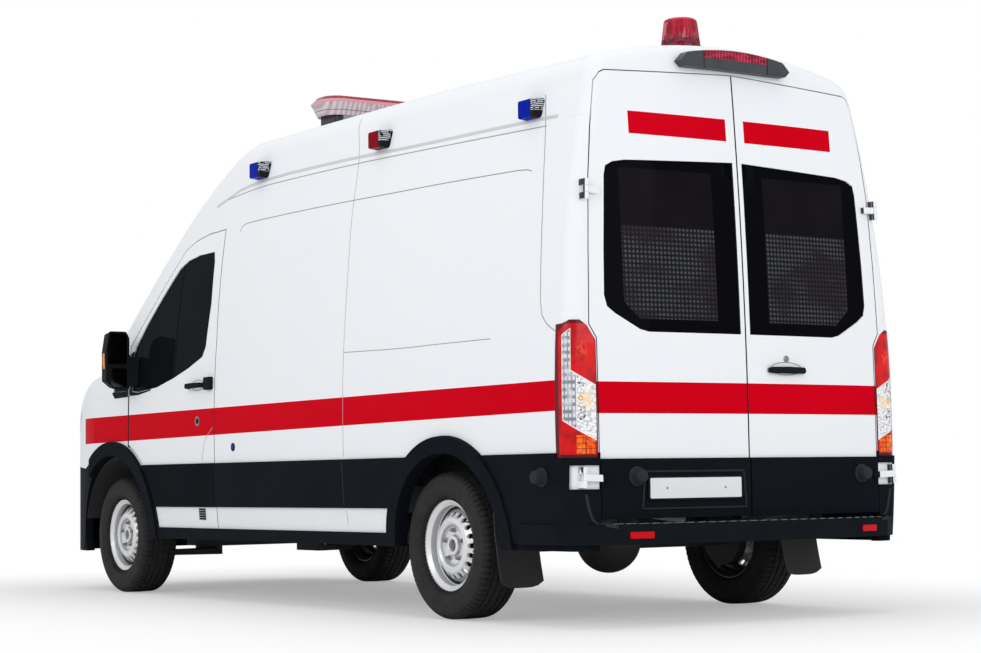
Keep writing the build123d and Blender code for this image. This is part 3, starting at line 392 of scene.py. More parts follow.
def barLens(name):
    s = Shader(name)
    y, z = s.place()[1:]
    flute = (y * 200.0).sine()
    clear = s.mix((0.66, 0.57, 0.61), (0.47, 0.36, 0.40), 0.5 + flute * 0.5)
    clear = s.mix(clear, (0.30, 0.24, 0.27), (s.cells(16.0, (1, 1.6, 0.6)) < 0.20) * 0.6)
    clear = s.mix(clear, (0.10, 0.07, 0.08), abs(z - barForm["seam"]) < 0.0016)
    red = s.mix((0.36, 0.010, 0.045), (0.24, 0.004, 0.02), 0.5 + flute * 0.5)
    red = s.mix((0.60, 0.24, 0.30), red, z > barForm["deepFrom"])
    colour = s.mix(clear, red, z > barForm["redFrom"])
    colour = s.mix(colour, (0.09, 0.004, 0.012), z.between(*barForm["line"]))
    colour = s.mix(colour, (0.03, 0.03, 0.034), z < barForm["foot"])
    return s.finish(colour, Roughness=0.1 + s.noise(20.0) * 0.05, Coat_Weight=0.2, Specular_IOR_Level=0.2,
                    Normal=s.bump(flute, 0.25, 0.002))


wheelBox = {"middle": -1.81, "half": 0.62, "inner": 0.70, "high": 0.955, "floor": 0.60}
# where shade is painted on the wheels: a ring, creases round the hub, and the inside
rimForm = {"middleX": 0.0925, "halfBase": 1.875, "z": 0.356, "hollowOut": 0.904, "hollow": 0.1929,
           "back": 0.83, "shadeOut": 0.935, "shade": (0.158, 0.190),
           "hubCreaseShade": ((0.093, 0.102), (0.047, 0.053))}


def metalPaint(name, colour, rough=0.4, metallic=0.0, dirt=0.4, scale=12.0, coat=0.0, arches=False,
               rimShade=False):
    s = Shader(name)
    tone = s.mix(colour, scaled(colour, 0.62), s.noise(scale, 6.0, 0.6) * dirt)
    if arches:      # the wheel boxes are sprayed dark underneath
        x, y, z = s.place()
        under = (abs(y) > wheelBox["inner"]) * (abs(x - wheelBox["middle"]) < wheelBox["half"])
        under = (under * (z < wheelBox["high"])).most(z < wheelBox["floor"])
        tone = s.mix(tone, (0.022, 0.022, 0.024), under)
    if rimShade:      # painted shade inside the rim, seen through the ring of holes
        x, y, z = s.place()
        along = abs(x - rimForm["middleX"]) - rimForm["halfBase"]      # from either axle
        away = apart(along, z - rimForm["z"]).root()
        shade = away.between(*rimForm["shade"]) * (abs(y) < rimForm["shadeOut"])
        tone = s.mix(tone, (0.20, 0.205, 0.215), shade * 0.75)
        # painted shade: darker rings in the creases round the hub
        lines = [away.between(*line) for line in rimForm["hubCreaseShade"]]
        tone = s.mix(tone, (0.34, 0.345, 0.36), lines[0].most(lines[1]) * 0.8)
        # painted shade: the inside of the rim and the wheel's back half nearly black
        inside = (abs(y) < rimForm["hollowOut"]) * (away < rimForm["hollow"])
        inside = inside.most(abs(y) < rimForm["back"])
        tone = s.mix(tone, (0.012, 0.012, 0.013), inside)
        metallic = (1 - inside) * metallic
    return s.finish(tone, Roughness=rough + s.noise(35.0) * 0.1, Metallic=metallic, Coat_Weight=coat,
                    Normal=s.bump(s.noise(220.0, 3.0), 0.12, 0.0006))


def rubber(name):
    s = Shader(name)
    tone = s.mix((0.009, 0.0095, 0.010), (0.030, 0.030, 0.030), s.noise(14.0, 6.0))
    return s.finish(tone, Roughness=0.65 + s.noise(60.0) * 0.12, Specular_IOR_Level=0.2,
                    Normal=s.bump(s.noise(500.0), 0.25, 0.0006))


def weave(name, colour):
    s = Shader(name)
    x, y, z = [(at * 2200.0).sine() for at in s.place()]
    tone = s.mix(colour, scaled(colour, 1.9), s.noise(180.0, 4.0))
    return s.finish(tone, Roughness=0.85 + s.noise(60.0) * 0.1, Normal=s.bump(x * y + z, 0.3, 0.0006))


headForm = {"bowls": ((0.655, 0.945, 0.068), (0.500, 0.925, 0.048)), "turn": (0.775, 0.825),
            "turnHigh": 1.0, "fluting": 420.0}


def headlampLens(name):
    s = Shader(name)
    y, z = s.place()[1:]
    side = abs(y)
    ribs = (side * headForm["fluting"]).sine() > 0.3
    colour = s.mix((0.48, 0.50, 0.53), (0.30, 0.31, 0.34), ribs * 0.8)
    for u, v, r in headForm["bowls"]:       # round reflectors behind the clear cover, drawn as painted reflection: bright in the middle and darker to the edge
        away = apart(side - u, z - v).root()
        colour = s.mix(colour, (0.035, 0.037, 0.042), away < r * 1.16)
        colour = s.mix(colour, s.mix((0.84, 0.86, 0.88), (0.36, 0.38, 0.42), away / r), away < r)
        colour = s.mix(colour, (0.93, 0.94, 0.95), away < r * 0.28)
    amber = s.mix((0.86, 0.40, 0.12), (0.62, 0.22, 0.05), (z * 500.0).sine() * 0.5 + 0.5)
    colour = s.mix(colour, amber, side.between(*headForm["turn"]) * (z < headForm["turnHigh"]))
    return s.finish(colour, Roughness=0.09 + s.noise(30.0) * 0.05, Coat_Weight=0.4, Specular_IOR_Level=0.3,
                    Normal=s.bump((y * headForm["fluting"]).sine(), 0.12, 0.001))


white = bodyPaint("whitePaint")
whiteStriped = bodyPaint("whitePaintStriped", striped=True)
doorPaint = bodyPaint("sideDoorPaint", striped=True, clad="side")
whiteBanded = bodyPaint("rearDoorPaint", striped=True, banded=True, clad="rear")
cladding = blackPlastic("blackCladding")
fineBlack = blackPlastic("blackTrim", (0.008, 0.009, 0.011), 1500.0, 0.38, 0.2)
glass = darkGlass("darkGlass")
rearGlass = darkGlass("rearGlass", frosted=True)
redLens = lampLens("redLens", (0.66, 0.002, 0.012), (0.46, 0.001, 0.008))
silver = metalPaint("silverWheelPaint", (0.80, 0.81, 0.83), 0.32, 0.35, 0.2, 18.0, 0.3, rimShade=True)
steel = metalPaint("brightSteel", (0.30, 0.30, 0.31), 0.25, 0.9, 0.3, 60.0)
underseal = metalPaint("underseal", (0.030, 0.030, 0.033), 0.6, 0.0, 0.5)
castIron = metalPaint("castIron", (0.045, 0.043, 0.042), 0.55, 0.3, 0.6)
bufferRubberAndHighlight = blackPlastic("bufferRubberAndHighlight", (0.020, 0.022, 0.026), 1200.0, 0.35, 0.2)
hubIron = metalPaint("hubEnd", (0.16, 0.155, 0.15), 0.5, 0.5, 0.6, 90.0)
exhaustSteel = metalPaint("dullExhaust", (0.30, 0.28, 0.26), 0.45, 0.8, 0.6)
castAlloy = metalPaint("castAlloy", (0.40, 0.40, 0.41), 0.45, 0.8, 0.5)
tankPlastic = blackPlastic("tankPlastic", (0.025, 0.025, 0.026), 500.0, 0.6)
cabPlastic = blackPlastic("cabPlastic", (0.055, 0.055, 0.06), 800.0, 0.6)
greyFloor = metalPaint("greyFloor", (0.40, 0.41, 0.43), 0.45, 0.0, 0.35, 6.0, arches=True)
tyreRubber = rubber("tyreRubber")
seatCloth = weave("seatCloth", (0.045, 0.048, 0.058))
mirrorSilver = metalPaint("mirrorSilver", (0.05, 0.055, 0.06), 0.04, 1.0, 0.1)
seamGreyAndShade = metalPaint("seamSealerAndShade", (0.30, 0.31, 0.33), 0.5, 0.0, 0.2)
softGrey = metalPaint("gutterShade", (0.58, 0.595, 0.615), 0.45, 0.0, 0.1)
padGrey = metalPaint("stepPadGrey", (0.16, 0.165, 0.175), 0.5, 0.0, 0.3)
gasket = metalPaint("gasketRubber", (0.02, 0.02, 0.022), 0.65, 0.0, 0.2)
plateWhite = metalPaint("blankPlate", (0.72, 0.73, 0.74), 0.35, 0.0, 0.06)
blueGlass = lampLens("blueLens", (0.01, 0.05, 0.4), (0.004, 0.02, 0.2), 0.006)
beaconRed = beaconLens("beaconLens")
amberLens = lampLens("amberLens", (0.85, 0.40, 0.10), (0.55, 0.2, 0.03), 0.008)

finishes = {
    "side_panel_left": whiteStriped, "side_panel_right": whiteStriped, "roof_high_top": white,
    "cab_pillars": white, "front_wings": whiteStriped, "bonnet": white, "front_door_left": doorPaint,
    "front_door_right": doorPaint, "sliding_door": doorPaint, "rear_door_left": whiteBanded,
    "rear_door_right": whiteBanded, "floor_and_firewall": greyFloor, "bulkhead": greyFloor,
    "fixed_glass": glass, "front_glass_left": glass, "front_glass_right": glass,
    "rear_glass_left": rearGlass, "rear_glass_right": rearGlass, "front_bumper": cladding,
    "rear_bumper": cladding, "side_mouldings": cladding, "grille": fineBlack,
    "headlamps": headlampLens("headlampLens"), "engine": castAlloy, "dashboard": cabPlastic,
    "steering_wheel": cabPlastic, "mirror_left": fineBlack, "mirror_right": fineBlack,
    "rear_lamps": tailLens("tailLampLens"), "roof_beacon": beaconRed, "light_bar": barLens("lightBarLens"),
    "marker_lamps": markerLens("markerLens"), "chassis_frame": underseal, "knuckle_left": castIron,
    "knuckle_right": castIron, "rear_axle": castIron, "prop_shaft": underseal, "exhaust": exhaustSteel,
    "fuel_tank": tankPlastic,
}
corners = ("front_left", "front_right", "rear_left", "rear_right")
for corner in corners:
    finishes["wheel_" + corner] = silver
for name, material in finishes.items():
    nodes[name].data.materials.clear()
    nodes[name].data.materials.append(material)
print("finishes on:", len(finishes), "nodes")


def piece(name, bm, material, body, smooth=True):
    bmesh.ops.recalc_face_normals(bm, faces=bm.faces)
    mesh = bpy.data.meshes.new(name)
    bm.to_mesh(mesh)
    bm.free()
    for polygon in mesh.polygons:
        polygon.use_smooth = smooth
    made = bpy.data.objects.new(name, mesh)
    made.data.materials.append(material)
    scene.collection.objects.link(made)
    if smooth:
        mesh.set_sharp_from_angle(angle=math.radians(38))
    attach(made, body)
    return made


def skinOf(*names):
    points, faces = [], []
    for name in names:
        mesh = nodes[name].data
        start = len(points)
        points += [v.co.copy() for v in mesh.vertices]
        faces += [[start + i for i in polygon.vertices] for polygon in mesh.polygons]
    return BVHTree.FromPolygons(points, faces)


views = {           # where a flat drawing is laid from: start of the ray and its direction
    "left": (lambda a, b: Vector((a, 3, b)), Vector((0, -1, 0))),
    "right": (lambda a, b: Vector((a, -3, b)), Vector((0, 1, 0))),
    "rear": (lambda a, b: Vector((-5, a, b)), Vector((1, 0, 0))),
}


def onSkin(skin, view, a, b):
    start, way = views[view]
    point, normal, _, _ = skin.ray_cast(start(a, b), way)
    if point is None:
        return None, None
    return point, normal if normal.dot(way) < 0 else -normal


def softened(path, rounds=2):
    for _ in range(rounds):
        cut = []
        for (a, b), (c, d) in zip(path, path[1:]):
            cut += [(a * 0.75 + c * 0.25, b * 0.75 + d * 0.25), (a * 0.25 + c * 0.75, b * 0.25 + d * 0.75)]
        path = [path[0]] + cut + [path[-1]]
    return path


def spaced(path, step, closed=False):
    ends = path + [path[0]] if closed else path
    out = [ends[0]]
    for (a, b), (c, d) in zip(ends, ends[1:]):
        count = max(1, math.ceil(math.hypot(c - a, d - b) / step))
        out += [(a + (c - a) * k / count, b + (d - b) * k / count) for k in range(1, count + 1)]
    return out[:-1] if closed else out


def oval(middle, reach, count):
    turns = [2 * math.pi * k / count for k in range(count)]
    return [(middle[0] + reach[0] * math.cos(t), middle[1] + reach[1] * math.sin(t)) for t in turns]


def rounded(low, high, radius, count=5):
    out = []
    (x0, y0), (x1, y1) = [[at + radius for at in low], [at - radius for at in high]]
    for cx, cy, start in ((x1, y1, 0), (x0, y1, 90), (x0, y0, 180), (x1, y0, 270)):
        for k in range(count + 1):
            angle = math.radians(start + 90 * k / count)
            out.append((cx + radius * math.cos(angle), cy + radius * math.sin(angle)))
    return out


def bridge(bm, rows, looped=True):      # faces between neighbouring rows of corners
    for first, second in zip(rows, rows[1:]):
        for k in range(len(first) if looped else len(first) - 1):
            n = (k + 1) % len(first)
            bm.faces.new((first[k], first[n], second[n], second[k]))


def cap(bm, rows):
    bm.faces.new(rows[0][::-1])
    bm.faces.new(rows[-1])


def layBead(name, skin, view, path, width, height, material, body, closed=False, step=0.02):
    # a low rounded line that follows the surface
    section = ((-1, -0.3), (-0.8, 0.6), (0, 1), (0.8, 0.6), (1, -0.3))
    hits = [onSkin(skin, view, a, b) for a, b in spaced(path, step, closed)]
    hits = [h for h in hits if h[0] is not None]
    count = len(hits)
    bm = bmesh.new()
    rows = []
    for k, (point, normal) in enumerate(hits):
        before = hits[(k - 1) % count][0] if closed else hits[max(k - 1, 0)][0]
        after = hits[(k + 1) % count][0] if closed else hits[min(k + 1, count - 1)][0]
        across = normal.cross(after - before).normalized()
        rows.append([bm.verts.new(point + across * (width / 2 * u) + normal * (height * v))
                     for u, v in section])
    bridge(bm, rows + rows[:1] if closed else rows, looped=False)
    if not closed:
        cap(bm, rows)
    return piece(name, bm, material, body)


def layPatch(name, skin, view, outline, lift, material, body, step=0.04, depth=0.002):
    # a thin sheet that is cut to an outline and pressed on the surface
    bm = bmesh.new()
    bm.faces.new([bm.verts.new((a, b, 0)) for a, b in outline])
    for axis in (0, 1):
        low, high = min(p[axis] for p in outline), max(p[axis] for p in outline)
        count = max(1, math.ceil((high - low) / step))
        for k in range(1, count):
            at, way = [0, 0, 0], [0, 0, 0]
            at[axis], way[axis] = low + (high - low) * k / count, 1
            bmesh.ops.bisect_plane(bm, geom=bm.verts[:] + bm.edges[:] + bm.faces[:], plane_co=at,
                                   plane_no=way, dist=1e-6)
    rim = [edge for edge in bm.edges if edge.is_boundary]
    grown = bmesh.ops.extrude_edge_only(bm, edges=rim)["geom"]
    low = {v for v in grown if isinstance(v, bmesh.types.BMVert)}
    missed = []
    for v in bm.verts:
        point, normal = onSkin(skin, view, v.co.x, v.co.y)
        if point is None:
            missed.append(v)
        else:
            v.co = point + normal * (lift - depth if v in low else lift)
    bmesh.ops.delete(bm, geom=missed, context="VERTS")
    return piece(name, bm, material, body)


def turned(name, profile, at, axis, material, body, count=32, flutes=0, depth=0.0):
    # profile holds (distance along the axis, radius); a fluted one has every other column lower
    bm = bmesh.new()
    spin = Vector((0, 0, 1)).rotation_difference(Vector(axis)).to_matrix()
    columns = flutes * 2 if flutes else count
    rows = []
    for along, radius in profile:
        if radius < 1e-6:
            rows.append([bm.verts.new(Vector(at) + spin @ Vector((0, 0, along)))])
            continue
        ring = []
        for k in range(columns):
            r = radius - (depth if flutes and k % 2 else 0)
            angle = 2 * math.pi * k / columns
            corner = Vector((r * math.cos(angle), r * math.sin(angle), along))
            ring.append(bm.verts.new(Vector(at) + spin @ corner))
        rows.append(ring)
    for first, second in zip(rows, rows[1:]):
        if len(first) > 1 and len(second) > 1:
            bridge(bm, (first, second))
            continue
        for k in range(columns):        # a fan round the point on the axis
            n = (k + 1) % columns
            if len(first) == 1:
                bm.faces.new((first[0], second[n], second[k]))
            else:
                bm.faces.new((first[k], first[n], second[0]))
    return piece(name, bm, material, body)


def swept(name, path, sizes, material, body, up=(0, 0, 1), count=14, square=3.0):
    # an oval section carried along points; sizes holds (width, height) at each
    bm = bmesh.new()
    path = [Vector(p) for p in path]
    rows = []
    for k, point in enumerate(path):
        ahead = (path[min(k + 1, len(path) - 1)] - path[max(k - 1, 0)]).normalized()
        side = ahead.cross(Vector(up)).normalized()
        top = side.cross(ahead)
        ring = []
        for j in range(count):
            angle = 2 * math.pi * (j + 0.5) / count
            c, s = math.cos(angle), math.sin(angle)
            u = math.copysign(abs(c) ** (2 / square), c) * sizes[k][0] / 2
            v = math.copysign(abs(s) ** (2 / square), s) * sizes[k][1] / 2
            ring.append(bm.verts.new(point + side * u + top * v))
        rows.append(ring)
    bridge(bm, rows)
    cap(bm, rows)
    return piece(name, bm, material, body)


def block(name, low, high, radius, material, body):
    bm = bmesh.new()
    bmesh.ops.create_cube(bm, size=1)
    low, high = Vector(low), Vector(high)
    for v in bm.verts:
        v.co = Vector([(low[i] + high[i]) / 2 + v.co[i] * (high[i] - low[i]) for i in range(3)])
    bmesh.ops.bevel(bm, geom=bm.edges[:], offset=radius, segments=3, affect="EDGES", profile=0.5)
    return piece(name, bm, material, body)


def flatPlate(name, low, high, radius, x, depth, lean, material, body):
    # a stiff plate: an outline of y and z carried along x, turned a little about the upright
    bm = bmesh.new()
    outline = rounded(low, high, radius)
    rings = [[bm.verts.new((at, a, b)) for a, b in outline] for at in (x - depth, x)]
    cap(bm, rings)
    bridge(bm, rings)
    middle = (x, (low[0] + high[0]) / 2, (low[1] + high[1]) / 2)
    bmesh.ops.rotate(bm, verts=bm.verts, cent=middle, matrix=Matrix.Rotation(lean, 3, "Z"))
    return piece(name, bm, material, body)


sides = (("Left", 1), ("Right", -1))
upper = ("cab_pillars", "roof_high_top", "front_wings")
sideSkin = {"left": skinOf("side_panel_left", *upper),
            "right": skinOf("side_panel_right", *upper, "sliding_door")}
doorSkin = {where: skinOf("front_door_" + where) for where in ("left", "right")}
rearSkin = {where: skinOf("rear_door_" + where) for where in ("left", "right")}

# body seams, with painted shade under the roof's lip and along a pressing
seams = {
    "gutter": [(0.66, 2.316), (0.28, 2.346), (-0.19, 2.347), (-0.84, 2.341), (-1.25, 2.331), (-1.63, 2.322),
               (-2.15, 2.310), (-2.52, 2.301)],
    # a grey strip of painted shade under the roof's lip
    "gutterBand": [(0.79, 2.285), (0.62, 2.33), (0.47, 2.366), (0.06, 2.384), (-0.40, 2.382),
                   (-0.83, 2.375), (-1.24, 2.361), (-1.62, 2.353), (-1.97, 2.349), (-2.30, 2.343),
                   (-2.51, 2.340), (-2.60, 2.336)],
    # a grey line of painted shade along the pressing
    "recess": [(0.437, 2.10), (0.41, 2.134), (0.35, 2.148), (-0.26, 2.148), (-0.85, 2.141), (-1.31, 2.131),
               (-1.68, 2.127), (-2.20, 2.116), (-2.40, 2.110), (-2.455, 2.096)],
    "panelJoint": [(-0.73, 2.60), (-0.825, 2.386), (-0.842, 2.249), (-0.845, 2.142), (-0.852, 2.01),
                   (-0.874, 1.82), (-0.885, 1.61), (-0.888, 1.375), (-0.888, 1.22), (-0.89, 1.09),
                   (-0.89, 0.80)],
    "waistJoint": [(-0.888, 1.337), (-1.45, 1.325), (-1.81, 1.328), (-2.23, 1.327)],
    "cornerJoint": [(-2.47, 2.456), (-2.512, 2.306), (-2.535, 2.186), (-2.572, 1.946), (-2.60, 1.665),
                    (-2.618, 1.426), (-2.665, 1.37), (-2.734, 1.332)],
    "flapJoint": [(0.594, 0.99), (0.693, 0.929), (0.726, 0.84), (0.734, 0.80)],
    "mouldingJoint": [(-0.890, 0.772), (-0.892, 0.548)], "sillJoint": [(-0.893, 0.520), (-0.900, 0.446)],
    "narrow": 0.0045, "wide": 0.006, "band": 0.020, "height": 0.0009,
}


def seam(label, width, material, skin, view="left", body="body", rounds=1):
    layBead(label + view.capitalize(), skin, view, softened(seams[label], rounds), seams[width],
            seams["height"], material, body)


for label, width, material in (("gutter", "wide", seamGreyAndShade), ("gutterBand", "band", softGrey),
                               ("recess", "wide", seamGreyAndShade), ("panelJoint", "narrow", seamGreyAndShade),
                               ("waistJoint", "narrow", seamGreyAndShade), ("cornerJoint", "wide", seamGreyAndShade)):
    seam(label, width, material, sideSkin["left"])
    if label in ("gutter", "gutterBand", "cornerJoint"):
        seam(label, width, material, sideSkin["right"], "right")
seam("flapJoint", "narrow", seamGreyAndShade, doorSkin["left"], body="front_door_left")
lowerSkin = skinOf("side_panel_left", "side_mouldings")
seam("mouldingJoint", "narrow", gasket, lowerSkin, rounds=0)
seam("sillJoint", "narrow", seamGreyAndShade, lowerSkin, rounds=0)
print("seams laid")

# door furniture; each stop of a lever is (share of its length, distance out, share of its height)
lever = {"rear": 0.678, "front": 0.904, "slidingRear": 0.20, "slidingFront": 0.42, "height": 1.236,
         "width": 0.019, "tall": 0.030, "cup": (0.36, 0.030, 0.003),
         "stops": ((0.0, 0.006, 0.9), (0.03, 0.022, 1), (0.10, 0.038, 1), (0.5, 0.042, 1.05),
                   (0.86, 0.038, 1), (0.95, 0.024, 1), (1.0, 0.004, 1.15))}
keyBlock = {"low": (0.598, 1.206), "high": (0.672, 1.280), "on": (0.64, 1.24), "sunk": 0.004, "deep": 0.030,
            "radius": 0.008}
roundLock = {"at": (0.790, 1.030), "eye": [(0.002, 0.0), (0.002, 0.017), (0.004, 0.014), (0.004, 0.0)],
             "ring": [(-0.002, 0.0), (-0.002, 0.029), (0.002, 0.029), (0.003, 0.026), (0.0015, 0.023),
                      (0.003, 0.012), (0.003, 0.0)]}
sideSocket = {"at": (0.344, 0.872), "cap": [(0.0, 0.0), (0.0, 0.016), (0.006, 0.014), (0.008, 0.0)],
              "rim": [(-0.002, 0.0), (-0.002, 0.024), (0.003, 0.023), (0.004, 0.019), (0.001, 0.017),
                      (0.001, 0.0)]}
vent = {"slats": 5, "from": 0.462, "pitch": 0.0135, "tall": 0.0095, "rear": 0.722, "front": 0.800}


def sideHandle(label, skin, view, body, rear, front):
    side = 1 if view == "left" else -1
    span, height = front - rear, lever["height"]
    points = [onSkin(skin, view, rear + span * share, height)[0] + Vector((0, side * stand, 0))
              for share, stand, _ in lever["stops"]]
    sizes = [(lever["width"], lever["tall"] * grow) for _, _, grow in lever["stops"]]
    swept("lever" + label, points, sizes, fineBlack, body)
    long, tall, above = lever["cup"]
    cup = oval((rear + span * 0.5, height + above), (span * long, tall), 28)
    layBead("leverCup" + label, skin, view, cup, 0.005, 0.0012, seamGreyAndShade, body, closed=True)


sideHandle("Sliding", sideSkin["right"], "right", "body", lever["slidingRear"], lever["slidingFront"])
for label, side in sides:
    view = label.lower()
    body, skin = "front_door_" + view, doorSkin[view]
    sideHandle("Front" + label, skin, view, body, lever["rear"], lever["front"])
    surface = abs(onSkin(skin, view, *keyBlock["on"])[0].y)
    ys = sorted((side * (surface - keyBlock["sunk"]), side * (surface + keyBlock["deep"])))
    block("keyBlock" + label, (keyBlock["low"][0], ys[0], keyBlock["low"][1]),
          (keyBlock["high"][0], ys[1], keyBlock["high"][1]), keyBlock["radius"], fineBlack, body)
    at = onSkin(skin, view, *roundLock["at"])[0]
    turned("roundLock" + label, roundLock["ring"], at, (0, side, 0), steel, body)
    turned("roundLockEye" + label, roundLock["eye"], at, (0, side, 0), fineBlack, body)
socketAt = onSkin(sideSkin["left"], "left", *sideSocket["at"])[0]
turned("sideSocketRim", sideSocket["rim"], socketAt, (0, 1, 0), fineBlack, "body", 24)
turned("sideSocketCap", sideSocket["cap"], socketAt, (0, 1, 0), blueGlass, "body", 24)
for k in range(vent["slats"]):      # vent below the door moulding
    low = vent["from"] + k * vent["pitch"]
    high = low + vent["tall"]
    layPatch(f"ventSlat{k}", doorSkin["left"], "left", [(vent["rear"], low), (vent["front"], low),
                                                       (vent["front"], high), (vent["rear"], high)],
             0.005, fineBlack, "front_door_left", 0.02, 0.006)

# rear doors: handle, lock, buffers and the blank plate
rearHandle = {"y": (-0.130, -0.362), "z": 1.168, "lock": (-0.248, 1.222), "cup": (-0.246, 1.176),
              "cupReach": (0.10, 0.030),
              "stops": ((0, 0.004), (0.06, 0.016), (0.5, 0.020), (0.94, 0.016), (1, 0.004)),
              "sizes": [(0.016, 0.020), (0.020, 0.030), (0.020, 0.034), (0.020, 0.030), (0.016, 0.020)],
              "lockForm": [(-0.002, 0.0), (-0.002, 0.017), (0.003, 0.016), (0.004, 0.012), (0.003, 0.0)]}
buffer = {"z": 0.678, "doorY": {"Left": 0.655, "Right": -0.7205}, "sideX": -2.636,
          "form": [(-0.004, 0.0), (-0.004, 0.045), (0.005, 0.044), (0.008, 0.036), (0.020, 0.034),
                   (0.022, 0.030), (0.026, 0.030), (0.028, 0.033), (0.034, 0.032), (0.036, 0.028),
                   (0.040, 0.028), (0.042, 0.030), (0.048, 0.027), (0.052, 0.020), (0.052, 0.0)]}
plate = {"y": (0.072, 0.592), "z": (0.576, 0.668), "probe": (0.102, 0.562, 0.62), "holder": 0.008,
         "surround": ((-0.040, -0.046), (0.034, -0.046), (0.020, 0.030), (-0.024, 0.030)),
         "screws": (0.18, 0.82), "screw": [(-0.001, 0.0), (-0.001, 0.006), (0.002, 0.005), (0.003, 0.0)]}
y0, y1 = rearHandle["y"]
handleAt = [onSkin(rearSkin["right"], "rear", y0 + (y1 - y0) * share, rearHandle["z"])[0]
            - Vector((stand, 0, 0)) for share, stand in rearHandle["stops"]]
swept("rearHandle", handleAt, rearHandle["sizes"], fineBlack, "rear_door_right")
cup = oval(rearHandle["cup"], rearHandle["cupReach"], 32)
layBead("rearHandleCup", rearSkin["right"], "rear", cup, 0.005, 0.0015, seamGreyAndShade, "rear_door_right",
        closed=True)
turned("rearLock", rearHandle["lockForm"], onSkin(rearSkin["right"], "rear", *rearHandle["lock"])[0],
       (-1, 0, 0), steel, "rear_door_right", 24)
for label, y in buffer["doorY"].items():
    where = label.lower()
    turned("doorBuffer" + label, buffer["form"], onSkin(rearSkin[where], "rear", y, buffer["z"])[0],
           (-1, 0, 0), bufferRubberAndHighlight, "rear_door_" + where)

(a0, a1), (b0, b1) = plate["y"], plate["z"]
p0, p1, height = plate["probe"]
ends = [onSkin(rearSkin["left"], "rear", y, height)[0] for y in (p0, p1)]
plateX = (ends[0].x + ends[1].x) / 2 - 0.008
plateLean = -math.atan2(ends[1].x - ends[0].x, ends[1].y - ends[0].y)
frameBy = plate["holder"]
flatPlate("plateHolder", (a0 - frameBy, b0 - frameBy), (a1 + frameBy, b1 + frameBy), 0.010, plateX + 0.004,
          0.006, plateLean, fineBlack, "rear_door_left")
flatPlate("blankPlate", (a0, b0), (a1, b1), 0.006, plateX - 0.002, 0.003, plateLean, plateWhite,
          "rear_door_left")
for k, share in enumerate(plate["screws"]):
    y = a0 + (a1 - a0) * share
    x = plateX - 0.005 + (y - (a0 + a1) / 2) * -math.sin(plateLean)
    turned(f"plateScrew{k}", plate["screw"], (x, y, (b0 + b1) / 2), (-1, 0, 0), steel, "rear_door_left",
           16)
# raised surround round the plate in lighter rubber, a painted highlight round its edges
surround = [(a + u, b + v) for (a, b), (u, v) in zip(((a0, b0), (a1, b0), (a1, b1), (a0, b1)),
                                                     plate["surround"])]
layBead("plateSurround", rearSkin["left"], "rear", surround, 0.009, 0.006, bufferRubberAndHighlight, "rear_door_left",
        closed=True)

# rear bumper: pads on the step, corner edges, reflectors and side buffers
bumperSkin = skinOf("rear_bumper")
stepPads = {"half": 0.80, "count": 27, "size": 0.026, "high": 0.0025, "in": 0.022, "row": (0.030, 0.02),
            "z": 0.465, "edgeAt": 0.44, "top": (0.45, 0.7), "foot": (0.7, 1.0)}
corner = {"edge": [(0.925, 0.600), (0.905, 0.510), (0.880, 0.468), (0.800, 0.452)],
          "reflector": ((0.632, 0.400), (0.745, 0.430), 0.006)}
bm = bmesh.new()
for k in range(stepPads["count"]):
    y = -stepPads["half"] + 2 * stepPads["half"] * k / (stepPads["count"] - 1)
    edge = onSkin(bumperSkin, "rear", y, stepPads["edgeAt"])[0].x
    half = stepPads["size"] / 2
    for row in (0, 1):
        at = Vector((edge + stepPads["in"] + row * stepPads["row"][0], y + row * stepPads["row"][1],
                     stepPads["z"]))
        rings = [[bm.verts.new(at + Vector((a * half * grow[0], b * half * grow[1], high)))
                  for a, b in ((-1, -1), (1, -1), (1, 1), (-1, 1))]
                 for grow, high in ((stepPads["foot"], -0.001), (stepPads["top"], stepPads["high"]))]
        bm.faces.new(rings[1])
        bridge(bm, rings)
piece("stepPads", bm, padGrey, "body", smooth=False)
for label, side in sides:
    # rising edge of each corner moulding, down to the step, in lighter rubber as a painted highlight
    edge = softened([(side * a, b) for a, b in corner["edge"]], 3)
    layBead("cornerEdge" + label, bumperSkin, "rear", edge, 0.016, 0.004, bufferRubberAndHighlight, "body")
    outline = [(side * a, b) for a, b in rounded(*corner["reflector"])]
    layPatch("reflector" + label, bumperSkin, "rear", outline, 0.006, redLens, "body", 0.02,
             0.008)
    at = onSkin(bumperSkin, label.lower(), buffer["sideX"], buffer["z"])[0]
    turned("sideBuffer" + label, buffer["form"], at, (0, side, 0), bufferRubberAndHighlight, "body")
print("door and bumper fittings on")

# wheels; the sidewall is drawn as (radius, distance from the tyre's middle)
wheelAt = {"front_left": (1.9675, 0.866, 1), "front_right": (1.9675, -0.866, -1),
           "rear_left": (-1.7825, 0.8715, 1), "rear_right": (-1.7825, -0.8715, -1)}
wheelSet = {
    "height": 0.356, "nutRing": 0.074, "nuts": 5, "nutFace": 0.054, "valveTurn": 140, "valveRing": 0.178,
    "nut": [(0.0, 0.0), (0.0, 0.0135), (0.004, 0.0135), (0.006, 0.0105), (0.022, 0.0105), (0.024, 0.0085),
            (0.024, 0.0045), (0.018, 0.004), (0.018, 0.0)],
    "hubRing": [(-0.002, 0.031), (0.0165, 0.031), (0.019, 0.034), (0.019, 0.041), (0.0165, 0.046),
                (-0.002, 0.046)],
    "hubBolt": [(-0.010, 0.0), (-0.010, 0.029), (-0.006, 0.029), (-0.004, 0.019), (0.006, 0.018),
                (0.008, 0.015), (0.008, 0.0)],
    "valve": ((0.052, 0.010), (0.064, 0.008), (0.082, 0.006)),
}
